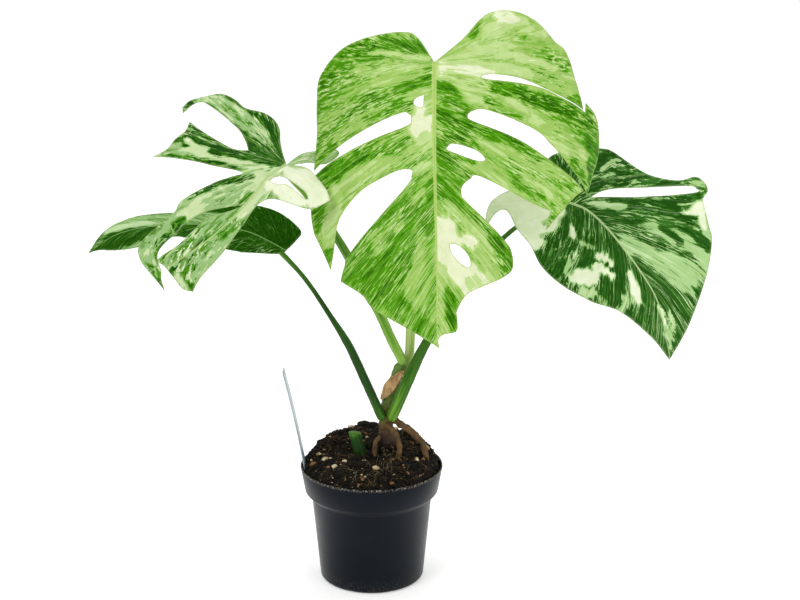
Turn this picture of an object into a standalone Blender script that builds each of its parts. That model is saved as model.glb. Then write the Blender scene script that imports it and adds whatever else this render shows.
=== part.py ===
"""A young variegated monstera growing in a plastic nursery pot.

Metres, +Z up. The pot's underside sits on the floor at the origin, +X runs from the lowest leaf towards
the right-hand leaf, and -Y is the side the plant faces. Leaves, leaf stalks, stem, roots, stub, label,
soil and pot are separate pieces set GAP apart.
"""
import math

import bmesh
import bpy
import numpy as np
from mathutils import Vector, noise
from mathutils.geometry import delaunay_2d_cdt

MM = 0.001
GAP = 0.3 * MM

# Pot
POT_HEIGHT = 0.100
POT_TOP_RADIUS = 0.060
POT_BASE_RADIUS = 0.044
POT_WALL = 0.0012
COLLAR_HEIGHT = 0.0215
COLLAR_TAPER = 0.0037
STEP_HEIGHT = 0.0045
STEP_DEPTH = 0.0053
BASE_ROUNDING = 0.004
DRAIN_HOLES = 8
DRAIN_RADIUS = 0.0055
DRAIN_DEPTH = 0.0030
DRAIN_CIRCLE = 0.85
POT_SIDES = 48

# Soil
SOIL_RISE = 0.012
SOIL_BACK_RISE = 0.009
SOIL_BACK_START = -0.26
SOIL_BACK_SPAN = 0.70
SOIL_EDGE_DROP = 0.004
SOIL_LUMPS = 0.0028
SOIL_STEPS = 57.8

# Plant: every position below is in millimetres from the middle of the pot's rim, times PLANT_SCALE
PLANT_SCALE = 1.0
BLADE_THICKNESS = 0.0010
STEM_THICKNESS = 1.0
BLADE_STEP = 13.0
EDGE_STEP = 8.0
STALK_REACH = 4.0

SHEATH_THICKNESS = 0.0005
SHEATH_TURN = math.radians(6.0)
SMOOTH_UP_TO = math.radians(40.0)

# Label
LABEL_WIDTH = 0.016
LABEL_THICKNESS = 0.001
LABEL_TOP = 0.086
LABEL_BURIED = 0.019
LABEL_POINT = 0.009
LABEL_CORNER = 0.004
LABEL_LEAN = math.radians(10.8)


def clear_scene():
    for thing in list(bpy.data.objects):
        bpy.data.objects.remove(thing, do_unlink=True)


def material(name, colour, roughness):
    made = bpy.data.materials.new(name)
    made.use_nodes = True
    shader = made.node_tree.nodes["Principled BSDF"]
    shader.inputs["Base Color"].default_value = (*colour, 1.0)
    shader.inputs["Roughness"].default_value = roughness
    return made


def round_off(mesh):
    """Smooth shading over rounded surfaces, with real edges kept sharp."""
    mesh.shade_smooth()
    mesh.set_sharp_from_angle(angle=SMOOTH_UP_TO)


def add_object(name, points, faces, colour, roughness, origin=(0.0, 0.0, 0.0)):
    """New piece at ORIGIN; its points are measured from there."""
    mesh = bpy.data.meshes.new(name)
    mesh.from_pydata([tuple(p) for p in points], [], faces)
    mesh.materials.append(material(name + "_material", colour, roughness))
    piece = bpy.data.objects.new(name, mesh)
    piece.location = tuple(origin)
    bpy.context.scene.collection.objects.link(piece)
    shape = bmesh.new()
    shape.from_mesh(mesh)
    bmesh.ops.recalc_face_normals(shape, faces=shape.faces)
    shape.to_mesh(mesh)
    shape.free()
    round_off(mesh)
    return piece


def smooth_line(points, step):
    """Points every STEP or so along a smooth line through the given ones."""
    points = np.array(points, float)
    if len(points) == 2:
        count = max(1, round(np.linalg.norm(points[1] - points[0]) / step))
        share = np.linspace(0.0, 1.0, count + 1)[:, None]
        return points[0] + (points[1] - points[0]) * share
    ends = np.vstack([2 * points[0] - points[1], points, 2 * points[-1] - points[-2]])
    line = []
    for a, b, c, d in zip(ends[:-3], ends[1:-2], ends[2:-1], ends[3:]):
        count = max(1, round(np.linalg.norm(c - b) / step))
        for k in range(count):
            u = k / count
            line.append(b + 0.5 * u * (c - a + u * (2 * a - 5 * b + 4 * c - d + u * (3 * (b - c) + d - a))))
    line.append(points[-1])
    return np.array(line)


# ---------------------------------------------------------------- pot and soil
def pot_profile(inset):
    """Outer profile of the pot from base edge to rim, moved inwards by INSET."""
    collar_foot = POT_TOP_RADIUS - COLLAR_TAPER
    wall_top = collar_foot - STEP_DEPTH
    collar_z = POT_HEIGHT - COLLAR_HEIGHT
    turn = np.linspace(-math.pi / 2, 0.0, 5)
    rounding = BASE_ROUNDING - inset
    corner = POT_BASE_RADIUS - BASE_ROUNDING
    profile = [(corner + rounding * math.cos(a), BASE_ROUNDING + rounding * math.sin(a)) for a in turn]
    profile.append((wall_top - inset, collar_z - STEP_HEIGHT + inset * 0.3))
    profile.append((collar_foot - inset, collar_z + inset * 0.6))
    profile.append((POT_TOP_RADIUS - inset, POT_HEIGHT))
    return profile


def turned(name, profile, sides, colour, roughness):
    """Closed body of revolution; the profile runs from the axis back to the axis."""
    points = []
    rings = []
    for radius, height in profile:
        if radius == 0.0:
            rings.append([len(points)] * sides)
            points.append((0.0, 0.0, height))
            continue
        rings.append(list(range(len(points), len(points) + sides)))
        for k in range(sides):
            angle = 2 * math.pi * k / sides
            points.append((radius * math.cos(angle), radius * math.sin(angle), height))
    faces = []
    for low, high in zip(rings[:-1], rings[1:]):
        for k in range(sides):
            m = (k + 1) % sides
            corners = [low[k], low[m], high[m], high[k]]
            faces.append(tuple(dict.fromkeys(corners)))
    return add_object(name, points, faces, colour, roughness)


def triangulate(piece):
    shape = bmesh.new()
    shape.from_mesh(piece.data)
    bmesh.ops.triangulate(shape, faces=shape.faces)
    shape.to_mesh(piece.data)
    shape.free()


def cut(piece, cutters):
    """Takes the cutters out of the piece and removes them."""
    triangulate(piece)
    for cutter in cutters:
        triangulate(cutter)
        change = piece.modifiers.new("cut", "BOOLEAN")
        change.operation = "DIFFERENCE"
        change.solver = "EXACT"
        change.object = cutter
    bpy.context.view_layer.update()
    seen = piece.evaluated_get(bpy.context.evaluated_depsgraph_get())
    piece_mesh = bpy.data.meshes.new_from_object(seen)
    piece.modifiers.clear()
    piece.data = piece_mesh
    round_off(piece_mesh)
    for cutter in cutters:
        bpy.data.objects.remove(cutter, do_unlink=True)


def drain_cutters():
    """Upright pegs that open the drainage holes through the base and its rounded edge."""
    cutters = []
    circle = POT_BASE_RADIUS * DRAIN_CIRCLE
    for k in range(DRAIN_HOLES):
        angle = 2 * math.pi * (k + 0.5) / DRAIN_HOLES
        peg = [(0.0, -0.01), (DRAIN_RADIUS, -0.01), (DRAIN_RADIUS, DRAIN_DEPTH), (0.0, DRAIN_DEPTH)]
        hole = turned("peg", peg, 16, (0.0, 0.0, 0.0), 1.0)
        hole.location = (circle * math.cos(angle), circle * math.sin(angle), 0.0)
        cutters.append(hole)
    return cutters


def build_pot():
    outside = pot_profile(0.0)
    inside = pot_profile(POT_WALL)
    lip = POT_WALL * 0.5
    rim = [(POT_TOP_RADIUS - lip, POT_HEIGHT + lip * 0.6)]
    profile = [(0.0, 0.0)] + outside + rim + inside[::-1] + [(0.0, POT_WALL)]
    pot = turned("pot", profile, POT_SIDES, (0.011, 0.017, 0.027), 0.45)
    cut(pot, drain_cutters())
    return pot


def soil_height(x, y):
    """Height of the heaped soil over the pot's rim: flat-topped, higher at the back, with soft lumps."""
    reach = math.hypot(x, y) / soil_radius()
    edge = reach ** 8
    dome = SOIL_RISE * (1.0 - 0.3 * reach ** 2 - 0.7 * edge) - SOIL_EDGE_DROP * edge
    back = min(max((y / soil_radius() - SOIL_BACK_START) / SOIL_BACK_SPAN, 0.0), 1.0)
    heap = SOIL_BACK_RISE * back * back * (3.0 - 2.0 * back) * (1.0 - edge)
    lumps = SOIL_LUMPS * noise.noise(Vector((x * 90.0, y * 90.0, 3.7))) * (1.0 - 0.7 * reach ** 4)
    return dome + heap + lumps


def soil_radius():
    drop_share = SOIL_EDGE_DROP / COLLAR_HEIGHT
    return POT_TOP_RADIUS - COLLAR_TAPER * drop_share - POT_WALL - GAP


def pot_spread():
    """Length in this pot of one step on the soil, where the soil is SOIL_STEPS steps from middle to edge."""
    return soil_radius() / SOIL_STEPS


def build_soil():
    sides = POT_SIDES
    radii = soil_radius() * np.array([0.2, 0.4, 0.57, 0.72, 0.84, 0.94, 1.0])
    side = pot_profile(POT_WALL + GAP)[:-1][::-1]
    points = [(0.0, 0.0, POT_HEIGHT + soil_height(0.0, 0.0))]
    rings = []
    for radius in radii:
        rings.append(range(len(points), len(points) + sides))
        for k in range(sides):
            angle = 2 * math.pi * k / sides
            x = radius * math.cos(angle)
            y = radius * math.sin(angle)
            edge = radius == radii[-1]
            height = -SOIL_EDGE_DROP if edge else soil_height(x, y)
            points.append((x, y, POT_HEIGHT + height))
    for radius, height in side:
        rings.append(range(len(points), len(points) + sides))
        for k in range(sides):
            angle = 2 * math.pi * k / sides
            points.append((radius * math.cos(angle), radius * math.sin(angle), height))
    faces = [(0, rings[0][k], rings[0][(k + 1) % sides]) for k in range(sides)]
    for a, b in zip(rings[:-1], rings[1:]):
        faces += [(a[k], b[k], b[(k + 1) % sides], a[(k + 1) % sides]) for k in range(sides)]
    faces.append(tuple(rings[-1]))
    return add_object("soil", points, faces, (0.016, 0.010, 0.007), 0.95)


# ---------------------------------------------------------------- plant helpers
def at(x, y, z):
    """A plant position: millimetres from the middle of the rim."""
    return np.array([x * MM * PLANT_SCALE, y * MM * PLANT_SCALE, POT_HEIGHT + z * MM * PLANT_SCALE])


def tube(name, path, radii, colour, roughness, sides=10, groove=0.0, wing=0.0, grow=0.0, slant=0.0, step=12.0):
    """Round-ended tube along a smooth path; RADII are spread evenly over its length."""
    line = smooth_line(path, step * MM)
    along = np.concatenate([[0.0], np.cumsum(np.linalg.norm(np.diff(line, axis=0), axis=1))])
    share = along / along[-1]
    radius = np.interp(share, np.linspace(0.0, 1.0, len(radii)), radii) + grow
    heading = np.gradient(line, along, axis=0)
    heading /= np.linalg.norm(heading, axis=1)[:, None]
    across = np.cross(heading[0], (0.0, 1.0, 0.2))
    points = []
    rings = []

    def ring(centre, size, way, upper, depth):
        rings.append(range(len(points), len(points) + sides))
        side = np.cross(way, upper)
        for k in range(sides):
            angle = 2 * math.pi * k / sides
            dent = 1.0 - depth * math.exp(-((angle - math.pi) / 0.7) ** 2)
            flare = 1.0 + wing * depth * math.exp(-((angle - 1.7 * math.pi) / 0.5) ** 2)
            reach = size * dent * flare
            points.append(centre + reach * (math.cos(angle) * upper + math.sin(angle) * side))

    for k, (centre, way) in enumerate(zip(line, heading)):
        across = across - way * across.dot(way)
        across /= np.linalg.norm(across)
        depth = groove * (1.0 - share[k])
        if k == 0:
            for lean in (0.35, 0.75):
                size = (radius[0]) * math.sin(lean * math.pi / 2)
                back = radius[0] * math.cos(lean * math.pi / 2)
                ring(centre - way * back, size, way, across, depth)
        ring(centre, radius[k], way, across, depth)
    if slant:
        for index in rings[-1]:
            offset = points[index] - line[-1]
            points[index] = points[index] + heading[-1] * offset.dot(np.array([-1.0, 0.0, 0.0])) * slant
    else:
        for lean in (0.75, 0.35):
            size = radius[-1] * math.sin(lean * math.pi / 2)
            ahead = radius[-1] * math.cos(lean * math.pi / 2)
            ring(line[-1] + heading[-1] * ahead, size, heading[-1], across, 0.0)
    faces = []
    for a, b in zip(rings[:-1], rings[1:]):
        faces += [(a[k], a[(k + 1) % sides], b[(k + 1) % sides], b[k]) for k in range(sides)]
    for ends in (rings[0], rings[-1]):
        points.append(sum(points[i] for i in ends) / sides)
        faces += [(ends[k], ends[(k + 1) % sides], len(points) - 1) for k in range(sides)]
    return add_object(name, [p - line[0] for p in points], faces, colour, roughness, line[0])


class Drape:
    """Smooth surface through pinned points: flat place on the leaf -> position in the plant."""

    def __init__(self, pins):
        self.flat = np.array([p[0] for p in pins], float)
        places = np.array([p[1] for p in pins], float)
        count = len(pins)
        edge = np.hstack([np.ones((count, 1)), self.flat])
        system = np.block([[self.bend(self.flat), edge], [edge.T, np.zeros((3, 3))]])
        self.weights = np.linalg.solve(system, np.vstack([places, np.zeros((3, 3))]))

    def bend(self, flat):
        square = ((flat[:, None] - self.flat[None]) ** 2).sum(axis=2)
        return 0.5 * square * np.log(np.maximum(square, 1e-9))

    def __call__(self, flat):
        flat = np.atleast_2d(np.asarray(flat, float))
        place = np.hstack([self.bend(flat), np.ones((len(flat), 1)), flat]) @ self.weights
        return np.array([at(*p) for p in place])

    def normal(self, flat):
        flat = np.atleast_2d(np.asarray(flat, float))
        along_s = self(flat + (0.5, 0.0)) - self(flat - (0.5, 0.0))
        along_t = self(flat + (0.0, 0.5)) - self(flat - (0.0, 0.5))
        out = np.cross(along_s, along_t)
        return out / np.linalg.norm(out, axis=1)[:, None]


def inside(points, loop):
    """Which points lie inside the closed loop."""
    hit = np.zeros(len(points), bool)
    for a, b in zip(loop, np.roll(loop, -1, axis=0)):
        spans = (a[1] > points[:, 1]) != (b[1] > points[:, 1])
        rise = b[1] - a[1] if b[1] != a[1] else 1.0
        cross = a[0] + (points[:, 1] - a[1]) * (b[0] - a[0]) / rise
        hit ^= spans & (points[:, 0] < cross)
    return hit


def edge_distance(points, loop):
    """Shortest distance from each point to the closed loop."""
    best = np.full(len(points), 1e9)
    for a, b in zip(loop, np.roll(loop, -1, axis=0)):
        along = b - a
        share = np.clip(((points - a) @ along) / max(along @ along, 1e-9), 0.0, 1.0)
        best = np.minimum(best, np.linalg.norm(points - a - share[:, None] * along, axis=1))
    return best


def sheet(name, stretches, openings, surface, normal, thickness, colour, roughness, step, edge_step):
    """Thin solid over a flat outline with openings, laid on a curved surface."""
    loops = [np.vstack([smooth_line(s, edge_step)[:-1] for s in stretches])]
    for opening in openings:
        loops.append(smooth_line(list(opening) + [opening[0]], edge_step)[:-1])
    low = loops[0].min(axis=0)
    high = loops[0].max(axis=0)
    rows = []
    for row, t in enumerate(np.arange(low[1], high[1], step * 0.866)):
        for s in np.arange(low[0] + 0.5 * step * (row % 2), high[0], step):
            rows.append((s, t))
    grid = np.array(rows)
    grid = grid[inside(grid, loops[0])]
    for loop in loops:
        grid = grid[edge_distance(grid, loop) > 0.45 * step]
    for loop in loops[1:]:
        grid = grid[~inside(grid, loop)]
    flat = np.vstack(loops + [grid])
    edges = []
    start = 0
    for loop in loops:
        count = len(loop)
        edges += [(start + k, start + (k + 1) % count) for k in range(count)]
        start += count
    corners, _, triangles, _, _, _ = delaunay_2d_cdt([Vector(p) for p in flat], edges, [], 0, 1e-5)
    flat = np.array([tuple(c) for c in corners])
    faces = np.array([tuple(t) for t in triangles])
    middle = flat[faces].mean(axis=1)
    keep = inside(middle, loops[0])
    for loop in loops[1:]:
        keep &= ~inside(middle, loop)
    faces = faces[keep]
    first, second, third = (flat[faces[:, k]] for k in range(3))
    turn = np.cross(second - first, third - first)
    faces[turn < 0] = faces[turn < 0][:, ::-1]
    used = np.unique(faces)
    number = {int(old): new for new, old in enumerate(used)}
    faces = [tuple(number[int(i)] for i in face) for face in faces]
    flat = flat[used]
    count = len(flat)
    place = surface(flat)
    lift = normal(flat) * thickness / 2
    points = list(place + lift) + list(place - lift)
    solid = list(faces) + [tuple(i + count for i in face[::-1]) for face in faces]
    sides = {}
    for face in faces:
        for a, b in zip(face, face[1:] + face[:1]):
            sides[(a, b)] = sides.get((a, b), 0) + 1
    for a, b in sides:
        if (b, a) not in sides:
            solid.append((b, a, a + count, b + count))
    return add_object(name, [p - place[0] for p in points], solid, colour, roughness, place[0])


# ---------------------------------------------------------------- leaves
# Flat outlines are in millimetres on the leaf: (across, along the midrib), with (0, 0) where the stalk
# joins. Each inner list is one smooth stretch; stretches meet at corners.
FRONT_PINS = [
    ((0, 0), (51, -20, 345)),
    ((1, 117), (52, -89, 251)),
    ((1, 175), (53, -115, 199)),
    ((2, 229), (54, -130, 145)),
    ((-76, -21), (-22, 10, 351)),
    ((-51, 29), (1, -30, 317)),
    ((-102, 18), (-42, 10, 309)),
    ((-105, 79), (-45, -12, 256)),
    ((-105, 103), (-46, -22, 235)),
    ((-51, 110), (1, -68, 246)),
    ((-85, 161), (-30, -55, 186)),
    ((-74, 172), (-22, -85, 185)),
    ((-40, 202), (13, -110, 164)),
    ((53, -44), (103, 5, 382)),
    ((114, -17), (159, 20, 343)),
    ((123, 32), (170, -8, 305)),
    ((66, 80), (117, -55, 274)),
    ((140, 51), (184, 0, 280)),
    ((129, 102), (174, -20, 237)),
    ((121, 99), (170, -35, 245)),
    ((87, 132), (138, -62, 220)),
]
FRONT_OUTLINE = [
    [(0, 0), (-14, -23), (-27, -28), (-52, -27), (-76, -21), (-93, -8), (-102, 9), (-103, 53), (-105, 79)],
    [(-105, 79), (-80, 62), (-30, 44), (-20, 44), (-18, 49), (-24, 55), (-68, 67), (-90, 75), (-105, 84)],
    [(-105, 84), (-107, 97), (-104, 126), (-98, 140), (-86, 161)],
    [(-86, 161), (-81, 128), (-72, 113), (-58, 101), (-41, 94), (-27, 90), (-18, 91), (-18, 96),
     (-23, 105), (-66, 148), (-72, 161), (-74, 172)],
    [(-74, 172), (-57, 184), (-51, 193), (-40, 202), (2, 229)],
    [(2, 229), (1, 223), (5, 219), (15, 217), (16, 210), (15, 203)],
    [(15, 203), (19, 195), (26, 188), (50, 176), (60, 167), (59, 154), (52, 144), (24, 118), (20, 112),
     (21, 105), (27, 99), (35, 96), (73, 112), (90, 117)],
    [(90, 117), (87, 132)],
    [(87, 132), (107, 108), (120, 99)],
    [(120, 99), (79, 71), (60, 61), (31, 51), (26, 47), (30, 42), (42, 41), (76, 53), (90, 64), (110, 86),
     (128, 103)],
    [(128, 103), (132, 86), (139, 65), (138, 36), (126, 25)],
    [(126, 25), (125, 34)],
    [(125, 34), (104, 24.8), (88, 18.9), (70, 16.3), (42, 15), (37, 13), (42, 11), (56, 10.5), (70, 12),
     (88, 17.9), (104, 23.8), (123, 32)],
    [(123, 32), (114, -17), (102, -28), (87, -40), (71, -45), (53, -44), (39, -38), (22, -19), (0, 0)],
]
FRONT_HOLES = [
    [(-8, 28), (-14, 31), (-16, 35), (-13, 38), (-9, 38)],
    [(10, 73), (14, 70), (24, 72), (34, 76), (39, 82), (31, 83), (11, 76)],
    [(10, 152), (15, 152), (22, 157), (26, 165), (24, 169), (18, 166), (12, 159)],
]

LEFT_PINS = [
    ((0, 0), (-66, -25, 264)),
    ((11, -13), (-49, -22, 261)),
    ((3, -52), (-38, 19, 257)),
    ((-4, -68), (-29, 35, 264)),
    ((-52, -16), (-87, 11, 299)),
    ((-90, -6), (-121, 28, 311)),
    ((-98, 29), (-151, 14, 299)),
    ((-61, 8), (-112, 4, 292)),
    ((-76, 39), (-143, -10, 295)),
    ((-65, 80), (-168, -38, 274)),
    ((-14, 61), (-121, -51, 250)),
    ((-20, 106), (-159, -67, 231)),
    ((-8, 112), (-148, -79, 221)),
    ((-23, 129), (-174, -69, 215)),
    ((-16, 149), (-173, -75, 193)),
    ((-7, 143), (-160, -83, 192)),
    ((-4, 161), (-159, -81, 176)),
    ((0, 135), (-164, -84, 200)),
    ((7, 105), (-140, -84, 219)),
    ((37, 92), (-111, -97, 213)),
    ((42, 131), (-134, -107, 183)),
    ((44, 14), (-48, -57, 236)),
    ((49, -4), (-31, -51, 242)),
]
LEFT_OUTLINE = [
    [(0, 0), (-21, -12), (-32, -20), (-43, -21), (-63, -10), (-78, -10), (-90, -6), (-98, 4), (-105, 16),
     (-103, 26)],
    [(-103, 26), (-96, 31)],
    [(-96, 31), (-99, 21), (-97, 12), (-88, 9), (-53, 8), (-31, 15), (-30, 19), (-39, 27), (-65, 37),
     (-77, 39)],
    [(-77, 39), (-70, 48), (-68, 59), (-64, 70), (-66, 82)],
    [(-66, 82), (-17, 36), (-16, 45), (-19, 57), (-21, 86), (-18, 100), (-25, 135), (-23, 145), (-14, 152),
     (-4, 161)],
    [(-4, 161), (-8, 146), (-8, 128), (-9, 113), (-6, 96), (-2, 80), (5, 64), (11, 53), (10, 62), (6, 76),
     (4, 86), (5, 105), (4, 120), (1, 135)],
    [(1, 135), (11, 132), (31, 136), (42, 131)],
    [(42, 131), (39, 97), (27, 65), (21, 52), (18, 44), (18, 34), (24, 27), (42, 16), (48, 9), (50, -4)],
    [(50, -4), (37, -10), (22, -13), (11, -12), (3, -4)],
    [(3, -4), (6, -24), (6, -50), (3, -66), (-2, -69), (-7, -62), (-8, -45), (-6, -26), (0, 0)],
]
LEFT_HOLES = [
    [(5, 22), (5, 16), (9, 11), (25, 7), (33, 7), (36, 10), (17, 13), (12, 18)],
]

LOW_PINS = [
    ((0, 0), (-70, 10, 184)),
    ((0, 32), (-97, 6, 199)),
    ((-4, 147), (-211, 1, 200)),
    ((0, 170), (-230, -2, 186)),
    ((-40, -12), (-59, 50, 189)),
    ((-64, 27), (-94, 75, 205)),
    ((-71, 79), (-146, 72, 202)),
    ((44, 55), (-116, -40, 199)),
    ((22, 88), (-151, -22, 205)),
    ((12, 152), (-212, -14, 191)),
]
LOW_OUTLINE = [
    [(0, 0), (-26, -9), (-39, -12), (-48, -7), (-58, 5), (-66, 27), (-72, 50), (-72, 79), (-66, 106),
     (-54, 127), (-38, 143), (-18, 156), (0, 170)],
    [(0, 170), (7, 158), (20, 142), (26, 126), (24, 106), (23, 90), (34, 74), (44, 55), (41, 37), (26, 15),
     (12, 5), (0, 0)],
]

RIGHT_PINS = [
    ((0, 0), (163, 30, 220)),
    ((13, 29), (188, 15, 207)),
    ((-7, 45), (180, 4, 186)),
    ((-15, 103), (202, -28, 143)),
    ((-1, 154), (243, -34, 104)),
    ((-42, -34), (109, 30, 227)),
    ((-71, -18), (94, 8, 206)),
    ((-51, -17), (112, 12, 215)),
    ((-36, 71), (168, -20, 157)),
    ((54, -30), (192, 70, 257)),
    ((73, 5), (226, 62, 240)),
    ((105, 52), (279, 40, 226)),
    ((86, 88), (282, 20, 190)),
]
RIGHT_OUTLINE = [
    [(0, 0), (-2, -12), (0, -27), (5, -39), (13, -44), (24, -43), (41, -38), (56, -29), (63, -21), (73, 5),
     (82, 20), (94, 31), (106, 35), (109, 43), (107, 51), (99, 55)],
    [(99, 55), (91, 76), (86, 88), (66, 110), (35, 134), (17, 145), (-1, 154)],
    [(-1, 154), (-4, 131), (-15, 103), (-30, 84), (-45, 57), (-51, 35), (-50, 17), (-52, -2), (-50, -17),
     (-52, -22), (-59, -22), (-70, -18), (-64, -27), (-52, -34), (-31, -33), (-8, -17), (0, 0)],
]
RIGHT_HOLES = [
    [(20, 6), (32, 6), (47, 11), (70, 23), (96, 39), (100, 44), (95, 46), (42, 18)],
]

LEAVES = {
    "front": (FRONT_PINS, FRONT_OUTLINE, FRONT_HOLES, (0.30, 0.48, 0.16)),
    "left": (LEFT_PINS, LEFT_OUTLINE, LEFT_HOLES, (0.22, 0.38, 0.14)),
    "low": (LOW_PINS, LOW_OUTLINE, [], (0.06, 0.16, 0.05)),
    "right": (RIGHT_PINS, RIGHT_OUTLINE, RIGHT_HOLES, (0.16, 0.32, 0.14)),
}


def build_leaf(which):
    pins, outline, holes, colour = LEAVES[which]
    drape = Drape(pins)
    blade = sheet("leaf_" + which, outline, holes, drape, drape.normal, BLADE_THICKNESS, colour, 0.4,
                  BLADE_STEP, EDGE_STEP)
    return drape, blade


# ---------------------------------------------------------------- stem, stalks and roots
STEM_PATH = [(15, 6, -12), (13, 2, 21), (12, 0, 40), (16, 0, 62), (21, 0, 78), (24, 0, 86)]
STEM_RADII = [6.3, 6.6, 6.0, 5.6, 5.2, 4.6]
# Bearing at which the front leaf's stalk passes the foot of the left leaf's stalk
FRONT_SIDE = math.radians(59.0)


def thick(*radii):
    return [r * MM * PLANT_SCALE * STEM_THICKNESS for r in radii]


def stem_place(height):
    """Middle and radius of the stem at a height over the rim, both ends included."""
    line = smooth_line(STEM_PATH, 2.0)
    z = line[:, 2]
    x = np.interp(height, z, line[:, 0])
    y = np.interp(height, z, line[:, 1])
    along = np.concatenate([[0.0], np.cumsum(np.linalg.norm(np.diff(line, axis=0), axis=1))])
    share = np.interp(height, z, along / along[-1])
    radius = np.interp(share, np.linspace(0.0, 1.0, len(STEM_RADII)), thick(*STEM_RADII))
    return at(x, y, height), radius


def beside_stem(height, bearing, radius):
    """Middle of a tube of this radius lying GAP clear of the stem, at a bearing in degrees from +X."""
    middle, stem_radius = stem_place(height)
    angle = math.radians(bearing)
    return middle + (stem_radius + radius + GAP) * square_to_stem(height, angle)


def square_to_stem(height, angle):
    """Unit direction square to the stem at a height, turned ANGLE from +X."""
    heading = stem_place(height + 3.0)[0] - stem_place(height - 3.0)[0]
    heading /= np.linalg.norm(heading)
    out = np.array([math.cos(angle), math.sin(angle), 0.0])
    out -= heading * heading.dot(out)
    return out / np.linalg.norm(out)


def under_leaf(drape, radius):
    """Middle of a round stalk end lying GAP under the blade where the midrib starts."""
    start = [(0.0, STALK_REACH)]
    return drape(start)[0] + drape.normal(start)[0] * (BLADE_THICKNESS / 2 + radius + GAP)


def build_stalks(drapes):
    low = thick(4.2, 4.1, 4.0, 3.6, 2.4, 2.1, 2.0, 2.4)
    path = [beside_stem(46, 245, low[0]), at(3, -9, 60), at(-6, -6, 80), at(-18, -3, 106), at(-34, 0, 132),
            at(-50, 4, 156), at(-61, 8, 169), under_leaf(drapes["low"], low[-1])]
    stalks = [tube("leafstalk_low", path, low, (0.05, 0.13, 0.03), 0.45, groove=0.25)]

    right = thick(5.4, 5.6, 4.4, 3.4, 2.7, 2.2, 2.0, 2.1)
    path = [beside_stem(48, 300, right[0]), at(25, -12, 64), at(35, -9, 87), at(46, -2, 108),
            at(65, 9, 137), at(90, 18, 170), at(114, 24, 195), at(138, 31, 209),
            under_leaf(drapes["right"], right[-1])]
    stalks.append(tube("leafstalk_right", path, right, (0.10, 0.20, 0.06), 0.45, groove=0.3))

    left = thick(4.5, 4.5, 4.4, 4.2, 3.8, 3.2, 2.6, 2.6)
    top, radius = stem_place(STEM_PATH[-1][2])
    lean = np.array(STEM_PATH[-1], float) - np.array(STEM_PATH[-2], float)
    lean /= np.linalg.norm(lean)
    left_start = top + lean * (radius + left[0] + GAP)
    path = [left_start, at(17, -2, 112), at(8, -2, 133), at(-7, 0, 161), at(-21, 0, 187),
            at(-35, -3, 211), at(-50, -9, 234), under_leaf(drapes["left"], left[-1])]
    stalks.append(tube("leafstalk_left", path, left, (0.22, 0.36, 0.12), 0.45, groove=0.3, wing=1.2))

    front = thick(4.4, 4.6, 4.2, 3.6, 3.2, 2.8, 2.6)
    aside = np.array([math.cos(FRONT_SIDE), math.sin(FRONT_SIDE), 0.0])
    path = [beside_stem(83, 40, front[0]), left_start + (left[0] + front[1] + 2 * GAP) * aside,
            at(33, 10, 108), at(34, 12, 133), at(38, 15, 192), at(44, 12, 260), at(49, 2, 312),
            under_leaf(drapes["front"], front[-1])]
    stalks.append(tube("leafstalk_front", path, front, (0.34, 0.46, 0.20), 0.45, groove=0.25))
    return stalks


# Start height and bearing on the stem, places on the way down, radii
ROOTS = {
    "aerial_root_front": (38, 289, [(21, -13, 31), (23.5, -16, 18), (20, -19, -6)], (2.4, 2.2, 2.0, 1.7)),
    "aerial_root_right": (42, 340, [(27, -7, 37), (37, -8, 29), (44, -9, 19), (48, -10, -4)],
                          (2.8, 3.0, 2.6, 2.2, 1.8)),
    "aerial_root_left": (26, 205, [(3, -10, 20), (3, -13, -4)], (2.0, 1.9, 1.6)),
    "aerial_root_back": (32, 95, [(13, 13, 24), (12, 18, -2)], (1.9, 1.8, 1.5)),
}


def root_path(which):
    """Root from the stem to the soil: set by the plant's scale at the stem and by the pot where it lands."""
    height, bearing, places, sizes = ROOTS[which]
    sizes = thick(*sizes)
    path = [beside_stem(height, bearing, sizes[0])]
    for k, (x, y, z) in enumerate(places):
        landing = (k + 1) / len(places)
        in_pot = np.array([x * pot_spread(), y * pot_spread(), POT_HEIGHT + z * MM])
        path.append((1.0 - landing) * at(x, y, z) + landing * in_pot)
    return path, sizes


STUB_PATH = [(-5, -10, -10), (-9, -10, 12), (-14, -10, 32)]
STUB_RADII = (5.4, 5.6, 4.8)


def build_in_soil(grow, suffix):
    """Everything that stands in the soil, GROW thicker; used for the pieces and for their sockets."""
    brown = (0.10, 0.055, 0.028)
    pieces = [tube("main_stem" + suffix, [at(*p) for p in STEM_PATH], thick(*STEM_RADII),
                   (0.16, 0.15, 0.06), 0.7, sides=14, grow=grow)]
    for which in ROOTS:
        path, sizes = root_path(which)
        pieces.append(tube(which + suffix, path, sizes, brown, 0.85, sides=8, grow=grow, step=6.0))
    pieces.append(tube("cut_shoot_stub" + suffix, [at(*p) for p in STUB_PATH], thick(*STUB_RADII),
                       (0.14, 0.22, 0.05), 0.6, sides=12, grow=grow, slant=0.35))
    pieces.append(build_label(grow, suffix))
    return pieces


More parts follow.
